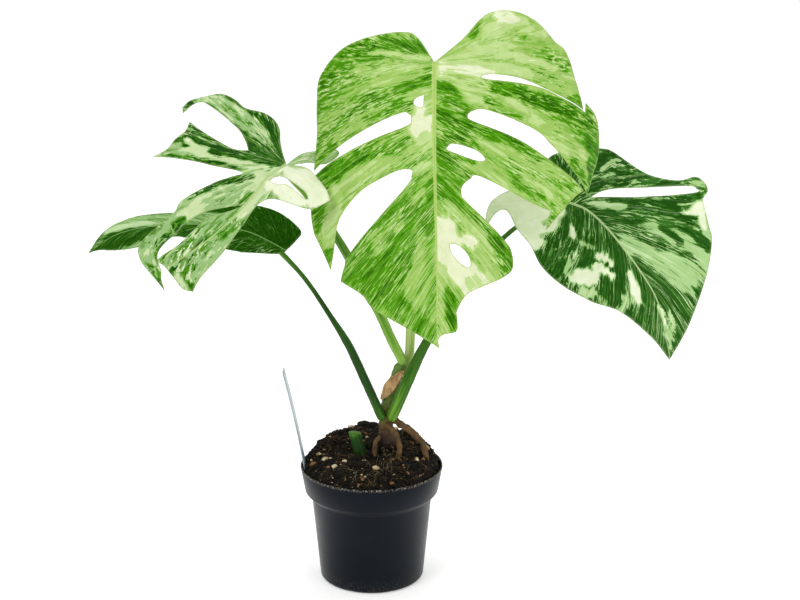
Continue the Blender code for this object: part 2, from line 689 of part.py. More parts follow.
def build_label(grow, suffix):
    """Blank plastic label leaning out over the rim on the left."""
    clear_radius = POT_TOP_RADIUS - POT_WALL - 2 * GAP
    at_rim = math.sqrt(clear_radius ** 2 - (LABEL_WIDTH / 2) ** 2) - LABEL_THICKNESS
    half = LABEL_WIDTH / 2 + grow
    shoulder = LABEL_POINT - LABEL_BURIED
    trim = half - LABEL_CORNER
    shape = [(0.0, -LABEL_BURIED - grow), (half, shoulder), (half, LABEL_TOP - LABEL_CORNER),
             (trim, LABEL_TOP + grow), (-trim, LABEL_TOP + grow), (-half, LABEL_TOP - LABEL_CORNER),
             (-half, shoulder)]
    reach = LABEL_THICKNESS / 2 + grow
    points = [(-k, s, u) for k in (reach, -reach) for s, u in shape]
    count = len(shape)
    faces = [tuple(range(count)), tuple(range(2 * count - 1, count - 1, -1))]
    faces += [(k, (k + 1) % count, count + (k + 1) % count, count + k) for k in range(count)]
    label = add_object("plant_label" + suffix, points, faces, (0.48, 0.57, 0.60), 0.35,
                       (-at_rim, 0.0, POT_HEIGHT))
    label.rotation_euler.y = -LABEL_LEAN
    return label


def build_sheath():
    """Dry papery leaf scale wrapped slantwise round the front and left of the stem."""
    def wrap(flat):
        rows = []
        for turn, height in flat:
            middle, radius = stem_place(height)
            reach = radius + GAP + SHEATH_THICKNESS
            rows.append(middle + reach * square_to_stem(height, turn * SHEATH_TURN))
        return np.array(rows)

    def outwards(flat):
        return np.array([square_to_stem(height, turn * SHEATH_TURN) for turn, height in flat])

    outline = [[(31, 57), (37, 60), (44, 67), (51, 79)], [(51, 79), (51, 86)],
               [(51, 86), (45, 84.5), (40, 81), (35, 73), (31, 57)]]
    return sheet("dry_leaf_sheath", outline, [], wrap, outwards, SHEATH_THICKNESS,
                 (0.30, 0.19, 0.10), 0.9, 4.0, 3.0)


GRANULES = [(-38, -16, 3.2), (-30, -30, 2.6), (-44, -4, 2.4), (-22, -24, 2.2), (4, -36, 3.0), (38, -18, 2.6),
            (46, 6, 2.8), (-18, 34, 2.8), (20, 36, 3.0), (-6, -22, 2.0)]


def granule(name, x, y, radius, seed, grow):
    """White perlite granule half sunk in the soil."""
    x = x * pot_spread()
    y = y * pot_spread()
    z = POT_HEIGHT + soil_height(x, y) + 0.2 * radius * MM
    shape = bmesh.new()
    bmesh.ops.create_icosphere(shape, subdivisions=1, radius=1.0)
    points = []
    for v in shape.verts:
        rough = 1.0 + 0.22 * noise.noise(v.co * 1.6 + Vector((seed * 7.3, 0.0, 0.0)))
        size = radius * MM * rough + grow
        points.append((v.co.x * size, v.co.y * size, v.co.z * size * 0.8))
    faces = [tuple(v.index for v in f.verts) for f in shape.faces]
    shape.free()
    return add_object(name, points, faces, (0.78, 0.76, 0.70), 0.9, (x, y, z))


def build_granules(grow, suffix):
    return [granule(f"perlite_{k + 1}{suffix}", x, y, radius, k, grow)
            for k, (x, y, radius) in enumerate(GRANULES)]


def group_on_rim(pieces):
    """Groups the plant's pieces under one empty in the middle of the pot's rim."""
    rim = bpy.data.objects.new("rim_middle", None)
    rim.location.z = POT_HEIGHT
    bpy.context.scene.collection.objects.link(rim)
    for piece in pieces:
        piece.parent = rim
        piece.location.z -= POT_HEIGHT


def main():
    clear_scene()
    build_pot()
    soil = build_soil()
    planted = build_in_soil(0.0, "") + build_granules(0.0, "")
    cut(soil, build_in_soil(GAP, "_socket") + build_granules(GAP, "_socket"))
    leaves = {which: build_leaf(which) for which in LEAVES}
    stalks = build_stalks({which: drape for which, (drape, _) in leaves.items()})
    group_on_rim(planted + [blade for _, blade in leaves.values()] + stalks + [build_sheath()])


main()
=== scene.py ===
import math

import bmesh
import bpy
import numpy as np
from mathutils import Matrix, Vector, noise
from mathutils.geometry import delaunay_2d_cdt


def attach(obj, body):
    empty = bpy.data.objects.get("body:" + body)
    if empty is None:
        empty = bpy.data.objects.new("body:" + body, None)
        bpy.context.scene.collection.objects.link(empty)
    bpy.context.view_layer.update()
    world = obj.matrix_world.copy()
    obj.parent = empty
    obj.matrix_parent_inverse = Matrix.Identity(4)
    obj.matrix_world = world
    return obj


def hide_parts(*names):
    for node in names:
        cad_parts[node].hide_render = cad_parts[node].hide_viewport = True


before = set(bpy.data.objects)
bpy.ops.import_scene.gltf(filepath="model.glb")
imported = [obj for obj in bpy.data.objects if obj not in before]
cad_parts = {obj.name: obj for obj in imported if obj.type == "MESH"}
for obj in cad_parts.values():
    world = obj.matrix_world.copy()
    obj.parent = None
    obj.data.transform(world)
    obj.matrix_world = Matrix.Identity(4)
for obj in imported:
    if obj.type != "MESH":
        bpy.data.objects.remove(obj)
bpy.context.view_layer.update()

MM = 0.001

# Sizes shared with the solid model, in metres
GAP = 0.3 * MM
POT_HEIGHT = 0.100
POT_TOP_RADIUS = 0.060
POT_BASE_RADIUS = 0.044
POT_WALL = 0.0012
COLLAR_HEIGHT = 0.0215
COLLAR_TAPER = 0.0037
STEP_HEIGHT = 0.0045
STEP_DEPTH = 0.0053
BASE_ROUNDING = 0.004
DRAIN_HOLES = 8
DRAIN_RADIUS = 0.0055
DRAIN_DEPTH = 0.0030
DRAIN_CIRCLE = 0.85
SOIL_RISE = 0.012
SOIL_BACK_RISE = 0.009
SOIL_BACK_START = -0.26
SOIL_BACK_SPAN = 0.70
SOIL_EDGE_DROP = 0.004
SOIL_LUMPS = 0.0028
LABEL_WIDTH = 0.016
LABEL_TOP = 0.086
LABEL_BURIED = 0.019
LABEL_POINT = 0.009
LABEL_CORNER = 0.004
LABEL_LEAN = math.radians(10.8)

# Sizes of the visible surfaces only, in metres
LABEL_THICKNESS = 0.0008
LABEL_BOW = 0.0012
LABEL_CUP = 0.0006
SHEATH_THICKNESS = 0.0004
RIM_DROP = 0.0003
DRAIN_PEG_FOOT = -0.01
FLOOR_HALF = 6.0

# On a leaf, in millimetres: where its stalk ends, the space between side veins, and what one radian counts
# for in a fan of veins and round the base. Rows of triangles lie this share of their step apart
STALK_REACH = 4.0
VEIN_GAP = 15.0
FAN_SCALE = 40.0
BASE_SCALE = 50.0
ROW_SHARE = 0.866

# Camera and lights: name, place, point looked at, width and power
CAMERA_PLACE = (0.024, -1.500, 0.691)
CAMERA_TILT = math.radians(73.43)
CAMERA_LENS = 85.5
LIGHTS = [
    ("key", (-1.2, -1.5, 1.9), (0.0, 0.0, 0.25), 1.2, 19.0),
    ("fill", (1.5, -1.7, 0.9), (0.0, 0.0, 0.2), 1.4, 12.0),
    ("top", (0.1, 0.6, 2.3), (0.0, 0.0, 0.2), 1.6, 12.0),
]


# ---------------------------------------------------------------- small helpers
def srgb(*levels):
    """Linear colour from red, green and blue of 0 to 255."""
    return tuple(((c / 255 + 0.055) / 1.055) ** 2.4 if c > 10 else c / 255 / 12.92 for c in levels)


def shade(colour, factor):
    return tuple(factor * c for c in colour)


def at(x, y, z):
    """A plant position: millimetres from the middle of the pot's rim."""
    return np.array([x * MM, y * MM, POT_HEIGHT + z * MM])


def unit(way):
    return way / np.linalg.norm(way)


def travelled(line):
    """Distance along a line to each of its points."""
    return np.concatenate([[0.0], np.cumsum(np.linalg.norm(np.diff(line, axis=0), axis=1))])


def smooth_line(points, step):
    """Points every STEP or so along a smooth line through the given ones."""
    points = np.array(points, float)
    if len(points) == 2:
        count = max(1, round(np.linalg.norm(points[1] - points[0]) / step))
        share = np.linspace(0.0, 1.0, count + 1)[:, None]
        return points[0] + (points[1] - points[0]) * share
    ends = np.vstack([2 * points[0] - points[1], points, 2 * points[-1] - points[-2]])
    line = []
    for a, b, c, d in zip(ends[:-3], ends[1:-2], ends[2:-1], ends[3:]):
        count = max(1, round(np.linalg.norm(c - b) / step))
        for k in range(count):
            u = k / count
            line.append(b + 0.5 * u * (c - a + u * (2 * a - 5 * b + 4 * c - d + u * (3 * (b - c) + d - a))))
    line.append(points[-1])
    return np.array(line)


def smoothstep(low, high, value):
    share = np.clip((value - low) / (high - low), 0.0, 1.0)
    return share * share * (3.0 - 2.0 * share)


def bell(value, width):
    """1 at nought, falling away over WIDTH on both sides."""
    return np.exp(-(value / width) ** 2)


def lumps(places, scale, seed):
    """Smooth noise, about -1 to 1, at each place."""
    return np.array([noise.noise(Vector((p[0] * scale + seed, p[1] * scale, p[2] * scale))) for p in places])


def new_mesh(name, points, faces):
    mesh = bpy.data.meshes.new(name)
    mesh.from_pydata(points, [], faces)
    return mesh


def new_object(name, data):
    """Puts a new object into the scene."""
    thing = bpy.data.objects.new(name, data)
    bpy.context.scene.collection.objects.link(thing)
    return thing


def mesh_object(name, points, faces, material, node, slot=None, **marks):
    """Adds a piece that rides on the frame and stands for a node; MARKS become point attributes."""
    mesh = new_mesh(name, np.asarray(points, float).tolist(), faces)
    for key, values in marks.items():
        values = np.asarray(values, float)
        kind = "FLOAT_VECTOR" if values.ndim == 2 else "FLOAT"
        layer = mesh.attributes.new(key, kind, "POINT")
        layer.data.foreach_set("vector" if values.ndim == 2 else "value", values.ravel())
    mesh.materials.append(material)
    mesh.shade_smooth()
    piece = new_object(name, mesh)
    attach(piece, "root")
    if node:
        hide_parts(node)
    return piece


def quads(rows, columns):
    """Faces of a sheet of points laid out row by row."""
    starts = [r * (columns + 1) + c for r in range(rows) for c in range(columns)]
    return [(a, a + 1, a + columns + 2, a + columns + 1) for a in starts]


def thicken(piece, thickness, offset=-1.0):
    change = piece.modifiers.new("thickness", "SOLIDIFY")
    change.thickness = thickness
    change.offset = offset


def circle(radius, height, sides):
    """Points round the pot's axis."""
    angles = [2 * math.pi * k / sides for k in range(sides)]
    return [(radius * math.cos(a), radius * math.sin(a), height) for a in angles]


def joined(parts):
    """Points and faces of several shapes as one."""
    points = []
    faces = []
    for spots, sides in parts:
        first = len(points)
        points += spots
        faces += [tuple(i + first for i in side) for side in sides]
    return points, faces


# ---------------------------------------------------------------- materials
class Nodes:
    """Short-hand for building a node tree."""

    def __init__(self, tree):
        self.tree = tree

    def put(self, socket, value):
        """Links a node output to an input, or sets a constant."""
        if isinstance(value, bpy.types.NodeSocket):
            self.tree.links.new(value, socket)
        elif isinstance(value, tuple) and len(value) == 3 and len(socket.default_value) == 4:
            socket.default_value = (*value, 1.0)
        else:
            socket.default_value = value

    def node(self, kind, inputs=(), **settings):
        """Adds a node. INPUTS are pairs of a socket's name or number and its value."""
        node = self.tree.nodes.new("ShaderNode" + kind)
        for key, value in settings.items():
            setattr(node, key, value)
        for key, value in inputs:
            self.put(node.inputs[key], value)
        return node

    def mark(self, name, output="Fac"):
        return self.node("Attribute", attribute_name=name).outputs[output]

    def place(self):
        return self.node("TexCoord").outputs["Object"]

    def stretch(self, vector, scale, shift=(0.0, 0.0, 0.0)):
        """Places stretched by SCALE: one number, or one for each axis."""
        scale = scale if isinstance(scale, tuple) else (scale, scale, scale)
        return self.node("Mapping", (("Vector", vector), ("Scale", scale), ("Location", shift))).outputs[0]

    def cloud(self, vector, scale, detail=3.0, roughness=0.55, distortion=0.0, shift=(0.0, 0.0, 0.0)):
        """Noise from 0 to 1 over the stretched places."""
        return self.node("TexNoise", (
            ("Vector", self.stretch(vector, scale, shift)), ("Scale", 1.0), ("Detail", detail),
            ("Roughness", roughness), ("Distortion", distortion))).outputs["Fac"]

    def cells(self, vector, scale):
        """Distance to the nearest of many scattered points."""
        inputs = (("Vector", self.stretch(vector, scale)), ("Scale", 1.0))
        return self.node("TexVoronoi", inputs).outputs["Distance"]

    def math(self, operation, first, second=0.0, third=0.0):
        return self.node("Math", enumerate((first, second, third)), operation=operation).outputs[0]

    def times(self, first, second):
        return self.math("MULTIPLY", first, second)

    def plus(self, first, second):
        return self.math("ADD", first, second)

    def swing(self, value, size):
        """A value of 0 to 1 brought to SIZE, half of it either side of nought."""
        return self.math("MULTIPLY_ADD", value, size, -0.5 * size)

    def remap(self, value, low, high, new_low=0.0, new_high=1.0, **settings):
        return self.node("MapRange", enumerate((value, low, high, new_low, new_high)), **settings).outputs[0]

    def split(self, vector):
        return self.node("SeparateXYZ", ((0, vector),)).outputs

    def join(self, *values):
        return self.node("CombineXYZ", enumerate(values)).outputs[0]

    def ramp(self, value, *stops):
        node = self.node("ValToRGB", ((0, value),))
        elements = node.color_ramp.elements
        while len(elements) < len(stops):
            elements.new(1.0)
        for element, (where, colour) in zip(elements, stops):
            element.position = where
            element.color = (*colour, 1.0)
        return node.outputs[0]

    def mix(self, share, first, second, blend="MIX"):
        inputs = (("Factor", share), (6, first), (7, second))
        return self.node("Mix", inputs, data_type="RGBA", blend_type=blend).outputs[2]

    def bump(self, height, distance, strength):
        inputs = (("Height", height), ("Distance", distance), ("Strength", strength))
        return self.node("Bump", inputs).outputs[0]


class Look(Nodes):
    """A material under construction."""

    def __init__(self, name):
        self.material = bpy.data.materials.new(name)
        self.material.use_nodes = True
        super().__init__(self.material.node_tree)

    def set(self, **values):
        """Sets the shader's inputs, with _ for each space in a name."""
        shader = self.tree.nodes["Principled BSDF"]
        for key, value in values.items():
            self.put(shader.inputs[key.replace("_", " ")], value)


# ---------------------------------------------------------------- leaves
FRONT_PINS = [
    ((0, 0), (51, -20, 345)),
    ((1, 117), (52, -89, 251)),
    ((1, 175), (53, -115, 199)),
    ((2, 229), (54, -130, 145)),
    ((-76, -21), (-22, 10, 351)),
    ((-51, 29), (1, -30, 317)),
    ((-102, 18), (-42, 10, 309)),
    ((-105, 79), (-45, -12, 256)),
    ((-105, 103), (-46, -22, 235)),
    ((-51, 110), (1, -68, 246)),
    ((-85, 161), (-30, -55, 186)),
    ((-74, 172), (-22, -85, 185)),
    ((-40, 202), (13, -110, 164)),
    ((53, -44), (103, 5, 382)),
    ((114, -17), (159, 20, 343)),
    ((123, 32), (170, -8, 305)),
    ((66, 80), (117, -55, 274)),
    ((140, 51), (184, 0, 280)),
    ((129, 102), (174, -20, 237)),
    ((121, 99), (170, -35, 245)),
    ((87, 132), (138, -62, 220)),
]
FRONT_OUTLINE = [
    [(0, 0), (-14, -23), (-27, -28), (-52, -27), (-76, -21), (-93, -8), (-102, 9), (-103, 53), (-105, 79)],
    [(-105, 79), (-80, 62), (-30, 44), (-20, 44), (-18, 49), (-24, 55), (-68, 67), (-90, 75), (-105, 84)],
    [(-105, 84), (-107, 97), (-104, 126), (-98, 140), (-86, 161)],
    [(-86, 161), (-81, 128), (-72, 113), (-58, 101), (-41, 94), (-27, 90), (-18, 91), (-18, 96),
     (-23, 105), (-66, 148), (-72, 161), (-74, 172)],
    [(-74, 172), (-57, 184), (-51, 193), (-40, 202), (2, 229)],
    [(2, 229), (1, 223), (5, 219), (15, 217), (16, 210), (15, 203)],
    [(15, 203), (19, 195), (26, 188), (50, 176), (60, 167), (59, 154), (52, 144), (24, 118), (20, 112),
     (21, 105), (27, 99), (35, 96), (73, 112), (90, 117)],
    [(90, 117), (87, 132)],
    [(87, 132), (107, 108), (120, 99)],
    [(120, 99), (79, 71), (60, 61), (31, 51), (26, 47), (30, 42), (42, 41), (76, 53), (90, 64), (110, 86),
     (128, 103)],
    [(128, 103), (132, 86), (139, 65), (138, 36), (126, 25)],
    [(126, 25), (125, 34)],
    [(125, 34), (104, 24.8), (88, 18.9), (70, 16.3), (42, 15), (37, 13), (42, 11), (56, 10.5), (70, 12),
     (88, 17.9), (104, 23.8), (123, 32)],
    [(123, 32), (114, -17), (102, -28), (87, -40), (71, -45), (53, -44), (39, -38), (22, -19), (0, 0)],
]
FRONT_HOLES = [
    [(-8, 28), (-14, 31), (-16, 35), (-13, 38), (-9, 38)],
    [(10, 73), (14, 70), (24, 72), (34, 76), (39, 82), (31, 83), (11, 76)],
    [(10, 152), (15, 152), (22, 157), (26, 165), (24, 169), (18, 166), (12, 159)],
]

LEFT_PINS = [
    ((0, 0), (-66, -25, 264)),
    ((11, -13), (-49, -22, 261)),
    ((3, -52), (-38, 19, 257)),
    ((-4, -68), (-29, 35, 264)),
    ((-52, -16), (-87, 11, 299)),
    ((-90, -6), (-121, 28, 311)),
    ((-98, 29), (-151, 14, 299)),
    ((-61, 8), (-112, 4, 292)),
    ((-76, 39), (-143, -10, 295)),
    ((-65, 80), (-168, -38, 274)),
    ((-14, 61), (-121, -51, 250)),
    ((-20, 106), (-159, -67, 231)),
    ((-8, 112), (-148, -79, 221)),
    ((-23, 129), (-174, -69, 215)),
    ((-16, 149), (-173, -75, 193)),
    ((-7, 143), (-160, -83, 192)),
    ((-4, 161), (-159, -81, 176)),
    ((0, 135), (-164, -84, 200)),
    ((7, 105), (-140, -84, 219)),
    ((37, 92), (-111, -97, 213)),
    ((42, 131), (-134, -107, 183)),
    ((44, 14), (-48, -57, 236)),
    ((49, -4), (-31, -51, 242)),
]
LEFT_OUTLINE = [
    [(0, 0), (-21, -12), (-32, -20), (-43, -21), (-63, -10), (-78, -10), (-90, -6), (-98, 4), (-105, 16),
     (-103, 26)],
    [(-103, 26), (-96, 31)],
    [(-96, 31), (-99, 21), (-97, 12), (-88, 9), (-53, 8), (-31, 15), (-30, 19), (-39, 27), (-65, 37),
     (-77, 39)],
    [(-77, 39), (-70, 48), (-68, 59), (-64, 70), (-66, 82)],
    [(-66, 82), (-17, 36), (-16, 45), (-19, 57), (-21, 86), (-18, 100), (-25, 135), (-23, 145), (-14, 152),
     (-4, 161)],
    [(-4, 161), (-8, 146), (-8, 128), (-9, 113), (-6, 96), (-2, 80), (5, 64), (11, 53), (10, 62), (6, 76),
     (4, 86), (5, 105), (4, 120), (1, 135)],
    [(1, 135), (11, 132), (31, 136), (42, 131)],
    [(42, 131), (39, 97), (27, 65), (21, 52), (18, 44), (18, 34), (24, 27), (42, 16), (48, 9), (50, -4)],
    [(50, -4), (37, -10), (22, -13), (11, -12), (3, -4)],
    [(3, -4), (6, -24), (6, -50), (3, -66), (-2, -69), (-7, -62), (-8, -45), (-6, -26), (0, 0)],
]
LEFT_HOLES = [
    [(5, 22), (5, 16), (9, 11), (25, 7), (33, 7), (36, 10), (17, 13), (12, 18)],
]

LOW_PINS = [
    ((0, 0), (-70, 10, 184)),
    ((0, 32), (-97, 6, 199)),
    ((-4, 147), (-211, 1, 200)),
    ((0, 170), (-230, -2, 186)),
    ((-40, -12), (-59, 50, 189)),
    ((-64, 27), (-94, 75, 205)),
    ((-71, 79), (-146, 72, 202)),
    ((44, 55), (-116, -40, 199)),
    ((22, 88), (-151, -22, 205)),
    ((12, 152), (-212, -14, 191)),
]
LOW_OUTLINE = [
    [(0, 0), (-26, -9), (-39, -12), (-48, -7), (-58, 5), (-66, 27), (-72, 50), (-72, 79), (-66, 106),
     (-54, 127), (-38, 143), (-18, 156), (0, 170)],
    [(0, 170), (7, 158), (20, 142), (26, 126), (24, 106), (23, 90), (34, 74), (44, 55), (41, 37), (26, 15),
     (12, 5), (0, 0)],
]

RIGHT_PINS = [
    ((0, 0), (163, 30, 220)),
    ((13, 29), (188, 15, 207)),
    ((-7, 45), (180, 4, 186)),
    ((-15, 103), (202, -28, 143)),
    ((-1, 154), (243, -34, 104)),
    ((-42, -34), (109, 30, 227)),
    ((-71, -18), (94, 8, 206)),
    ((-51, -17), (112, 12, 215)),
    ((-36, 71), (168, -20, 157)),
    ((54, -30), (192, 70, 257)),
    ((73, 5), (226, 62, 240)),
    ((105, 52), (279, 40, 226)),
    ((86, 88), (282, 20, 190)),
]
RIGHT_OUTLINE = [
    [(0, 0), (-2, -12), (0, -27), (5, -39), (13, -44), (24, -43), (41, -38), (56, -29), (63, -21), (73, 5),
     (82, 20), (94, 31), (106, 35), (109, 43), (107, 51), (99, 55)],
    [(99, 55), (91, 76), (86, 88), (66, 110), (35, 134), (17, 145), (-1, 154)],
    [(-1, 154), (-4, 131), (-15, 103), (-30, 84), (-45, 57), (-51, 35), (-50, 17), (-52, -2), (-50, -17),
     (-52, -22), (-59, -22), (-70, -18), (-64, -27), (-52, -34), (-31, -33), (-8, -17), (0, 0)],
]
RIGHT_HOLES = [
    [(20, 6), (32, 6), (47, 11), (70, 23), (96, 39), (100, 44), (95, 46), (42, 18)],
]


class Drape:
    """Smooth surface through pinned points: flat place on the leaf -> position in the plant."""

    def __init__(self, pins):
        self.flat = np.array([p[0] for p in pins], float)
        places = np.array([p[1] for p in pins], float)
        edge = np.hstack([np.ones((len(pins), 1)), self.flat])
        system = np.block([[self.bend(self.flat), edge], [edge.T, np.zeros((3, 3))]])
        self.weights = np.linalg.solve(system, np.vstack([places, np.zeros((3, 3))]))

    def bend(self, flat):
        square = ((flat[:, None] - self.flat[None]) ** 2).sum(axis=2)
        return 0.5 * square * np.log(np.maximum(square, 1e-9))

    def __call__(self, flat):
        flat = np.atleast_2d(np.asarray(flat, float))
        place = np.hstack([self.bend(flat), np.ones((len(flat), 1)), flat]) @ self.weights
        return place * MM + (0.0, 0.0, POT_HEIGHT)

    def normal(self, flat):
        flat = np.atleast_2d(np.asarray(flat, float))
        along_s = self(flat + (0.5, 0.0)) - self(flat - (0.5, 0.0))
        along_t = self(flat + (0.0, 0.5)) - self(flat - (0.0, 0.5))
        out = np.cross(along_s, along_t)
        return out / np.linalg.norm(out, axis=1)[:, None]


def inside(points, loop):
    """Which points lie inside the closed loop."""
    hit = np.zeros(len(points), bool)
    for a, b in zip(loop, np.roll(loop, -1, axis=0)):
        spans = (a[1] > points[:, 1]) != (b[1] > points[:, 1])
        rise = b[1] - a[1] if b[1] != a[1] else 1.0
        cross = a[0] + (points[:, 1] - a[1]) * (b[0] - a[0]) / rise
        hit ^= spans & (points[:, 0] < cross)
    return hit


def edge_distance(points, loop):
    """Shortest distance from each point to the closed loop."""
    best = np.full(len(points), 1e9)
    for a, b in zip(loop, np.roll(loop, -1, axis=0)):
        along = b - a
        share = np.clip(((points - a) @ along) / max(along @ along, 1e-9), 0.0, 1.0)
        best = np.minimum(best, np.linalg.norm(points - a - share[:, None] * along, axis=1))
    return best


class Veins:
    """Vein coordinates of a leaf: reach from the midrib, place along it, and signed distance across it."""

    def __init__(self, midrib, slope=0.0, spread=0.0, fan=False):
        self.midrib = smooth_line(midrib, 2.0)
        self.slope = slope
        self.spread = spread
        self.fan = fan
        self.length = travelled(self.midrib)[-1]

    def __call__(self, flat):
        flat = np.atleast_2d(np.asarray(flat, float))
        strides = np.diff(self.midrib, axis=0)
        lengths = np.linalg.norm(strides, axis=1)
        ways = strides / lengths[:, None]
        away = flat[:, None] - self.midrib[None, :-1]
        along = (away * ways[None]).sum(axis=2)
        low = np.zeros(len(ways))
        low[0] = -1e3  # the first stretch also counts backwards past the stalk
        held = np.clip(along, low, lengths)
        gap = np.linalg.norm(away - held[..., None] * ways[None], axis=2)
        best = gap.argmin(axis=1)
        rows = np.arange(len(flat))
        turn = ways[best, 1] * away[rows, best, 0] - ways[best, 0] * away[rows, best, 1]
        across = gap[rows, best] * np.where(turn < 0.0, -1.0, 1.0)
        if self.fan:
            angle = (np.arctan2(flat[:, 1], flat[:, 0]) + 0.75 * math.pi) % (2.0 * math.pi)
            return np.hypot(flat[:, 0], flat[:, 1]), FAN_SCALE * angle, across
        out = np.abs(across)
        rise = travelled(self.midrib)[best] + held[rows, best] - self.slope * out
        start = rise / (1.0 + self.spread * out)
        round_base = BASE_SCALE * np.arctan2(np.minimum(rise, 0.0), out + 1e-6)
        return np.hypot(out, np.minimum(rise, 0.0)), np.where(rise < 0.0, round_base, start), across


def paint(flat, veins, base, strokes):
    """Tone over a leaf, 0 deep green to 1 white: soft-edged brush strokes, each one over the last."""
    reach, start, across = veins(flat)
    outward = flat / (np.linalg.norm(flat, axis=1)[:, None] + 1.0)
    grain = np.column_stack([reach * 0.03, start, np.sign(across) * 7.0])
    drawn = 5.0 * lumps(grain, 0.21, 2.0) + 3.0 * lumps(grain, 0.52, 8.0)
    sway = 2.5 * lumps(np.column_stack([flat, np.zeros(len(flat))]), 0.11, 4.0)
    flat = flat + outward * drawn[:, None] + outward[:, ::-1] * (1.0, -1.0) * sway[:, None]
    tone = np.full(len(flat), float(base))
    for first, last, width, value in strokes:
        first = np.array(first, float)
        way = np.array(last, float) - first
        share = np.clip((flat - first) @ way / (way @ way), 0.0, 1.0)
        away = np.linalg.norm(flat - first - share[:, None] * way, axis=1)
        cover = 1.0 - smoothstep(0.65 * width, 1.15 * width + 1.2, away)
        side = veins([first + 0.5 * way])[2][0]
        if abs(side) > 2.5:  # a stroke beside the midrib stops at it
            cover *= smoothstep(-0.6, 0.6, across * math.copysign(1.0, side))
        tone = tone * (1.0 - cover) + value * cover
    return tone


def steps(colours, edges, blend=0.012):
    """Ramp stops that hold each colour and change quickly at each edge."""
    stops = [(0.0, colours[0])]
    for edge, before, after in zip(edges, colours[:-1], colours[1:]):
        stops += [(edge - blend, before), (edge + blend, after)]
    return stops


def mottled(look, grow, tone, seed, mottle):
    """Tone with patches, streaks and flecks drawn out along the veins. MOTTLE gives the size of each."""
    patch_size, streak_size, fleck_size = mottle
    patch = look.cloud(grow, (0.026, 0.13, 1.0), 5.0, 0.60, 0.3, (seed, 0.0, 0.0))
    streak = look.cloud(grow, (0.042, 0.46, 1.0), 3.0, 0.58, 0.3, (seed, 5.0, 0.0))
    calm = look.remap(tone, 0.52, 0.74, 1.0, 0.34)
    both = look.plus(look.swing(patch, patch_size), look.swing(streak, streak_size))
    level = look.plus(tone, look.times(both, calm))
    cluster = look.remap(look.cloud(grow, (0.03, 0.07, 1.0), 2.0, shift=(seed, 7.0, 0.0)), 0.40, 0.60)
    fleck = look.cloud(grow, (0.13, 0.85, 1.0), 3.0, 0.62, 0.5, (seed, 9.0, 0.0))
    pale = look.times(look.remap(fleck, 0.535, 0.555), look.remap(cluster, 0.0, 1.0, 0.55, 1.0))
    pale = look.times(pale, look.remap(level, 0.42, 0.55, fleck_size, 0.0))
    green = look.times(look.remap(fleck, 0.41, 0.39), look.remap(cluster, 0.2, 0.8))
    green = look.times(green, look.remap(tone, 0.56, 0.70, 1.0, 0.30))
    green = look.times(green, look.remap(level, 0.80, 0.68, 0.0, fleck_size))
    return look.math("SUBTRACT", look.plus(level, pale), green)


def near_lines(look, start, per_gap, outer, inner):
    """1 on the side veins, PER_GAP of them to each gap, falling to 0 between INNER and OUTER."""
    turn = look.math("FRACT", look.math("MULTIPLY_ADD", start, per_gap / VEIN_GAP, 0.5))
    away = look.math("ABSOLUTE", look.math("SUBTRACT", turn, 0.5))
    return look.remap(away, outer / VEIN_GAP, inner / VEIN_GAP)


def leaf_look(name, colours, edges, vein_colour, seed, rib_width, length, mottle=(1.1, 0.7, 0.40),
              gloss=0.40, shine=0.04, pale_under=0.35, vein_show=0.24):
    """Blade surface: streaky patches in a few tones, a midrib with painted shade darkening the middle of its
    groove, side veins, margin and a paler underside.
    """
    look = Look(name)
    reach, start, across = look.split(look.mark("vein", "Vector"))
    grow = look.join(reach, start, look.times(look.math("SIGN", across), 30.0))
    flat = look.mark("flat", "Vector")
    colour = look.ramp(mottled(look, grow, look.mark("tone"), seed, mottle), *steps(colours, edges))
    cloudy = look.cloud(flat, (0.09, 0.09, 1.0), 3.0, 0.6, shift=(seed, 0.0, 0.0))
    tint = look.ramp(cloudy, (0.36, (0.88, 0.90, 0.74)), (0.64, (1.0, 0.99, 0.90)))
    colour = look.mix(1.0, colour, tint, "MULTIPLY")
    near_vein = near_lines(look, start, 1.0, 0.55, 0.15)
    near_small = near_lines(look, start, 3.0, 0.9, 0.2)
    colour = look.mix(look.times(near_small, 0.05), colour, vein_colour, "LIGHTEN")
    colour = look.mix(look.times(near_vein, vein_show), colour, vein_colour, "LIGHTEN")
    wide = look.remap(look.mark("outward"), 0.0, length, rib_width, 0.25)
    beside = look.math("DIVIDE", look.math("ABSOLUTE", across), wide)
    on_rib = look.times(look.remap(beside, 1.15, 0.85), look.mark("ribbed"))
    # Painted shade: the middle of the midrib is coloured darker, standing in for the shade that falls in its
    # groove
    groove = look.remap(beside, 0.0, 0.45, 0.45, 0.0)
    rib_colour_with_painted_groove_shade = look.mix(groove, vein_colour, shade(vein_colour, 0.62))
    colour = look.mix(look.times(on_rib, 0.88), colour, rib_colour_with_painted_groove_shade)
    colour = look.mix(look.times(look.mark("margin"), 0.55), colour, shade(vein_colour, 0.8))
    under = look.mark("under")
    colour = look.mix(look.times(under, pale_under), colour, srgb(140, 176, 98))
    grain = look.cloud(flat, (2.6, 2.6, 1.0), 2.0, 0.6)
    ridges = look.cloud(grow, (0.05, 0.9, 1.0), 3.0, 0.55)
    relief = look.plus(look.times(grain, 0.25), look.times(ridges, 0.75))
    relief = look.math("SUBTRACT", relief, look.times(near_vein, 0.6))
    look.set(Base_Color=colour, Roughness=look.math("MULTIPLY_ADD", under, 0.25, gloss),
             Specular_IOR_Level=shine, Subsurface_Weight=0.10, Subsurface_Radius=(0.6, 1.0, 0.15),
             Subsurface_Scale=0.0010, Normal=look.bump(relief, 0.0006, 0.45))
    return look.material


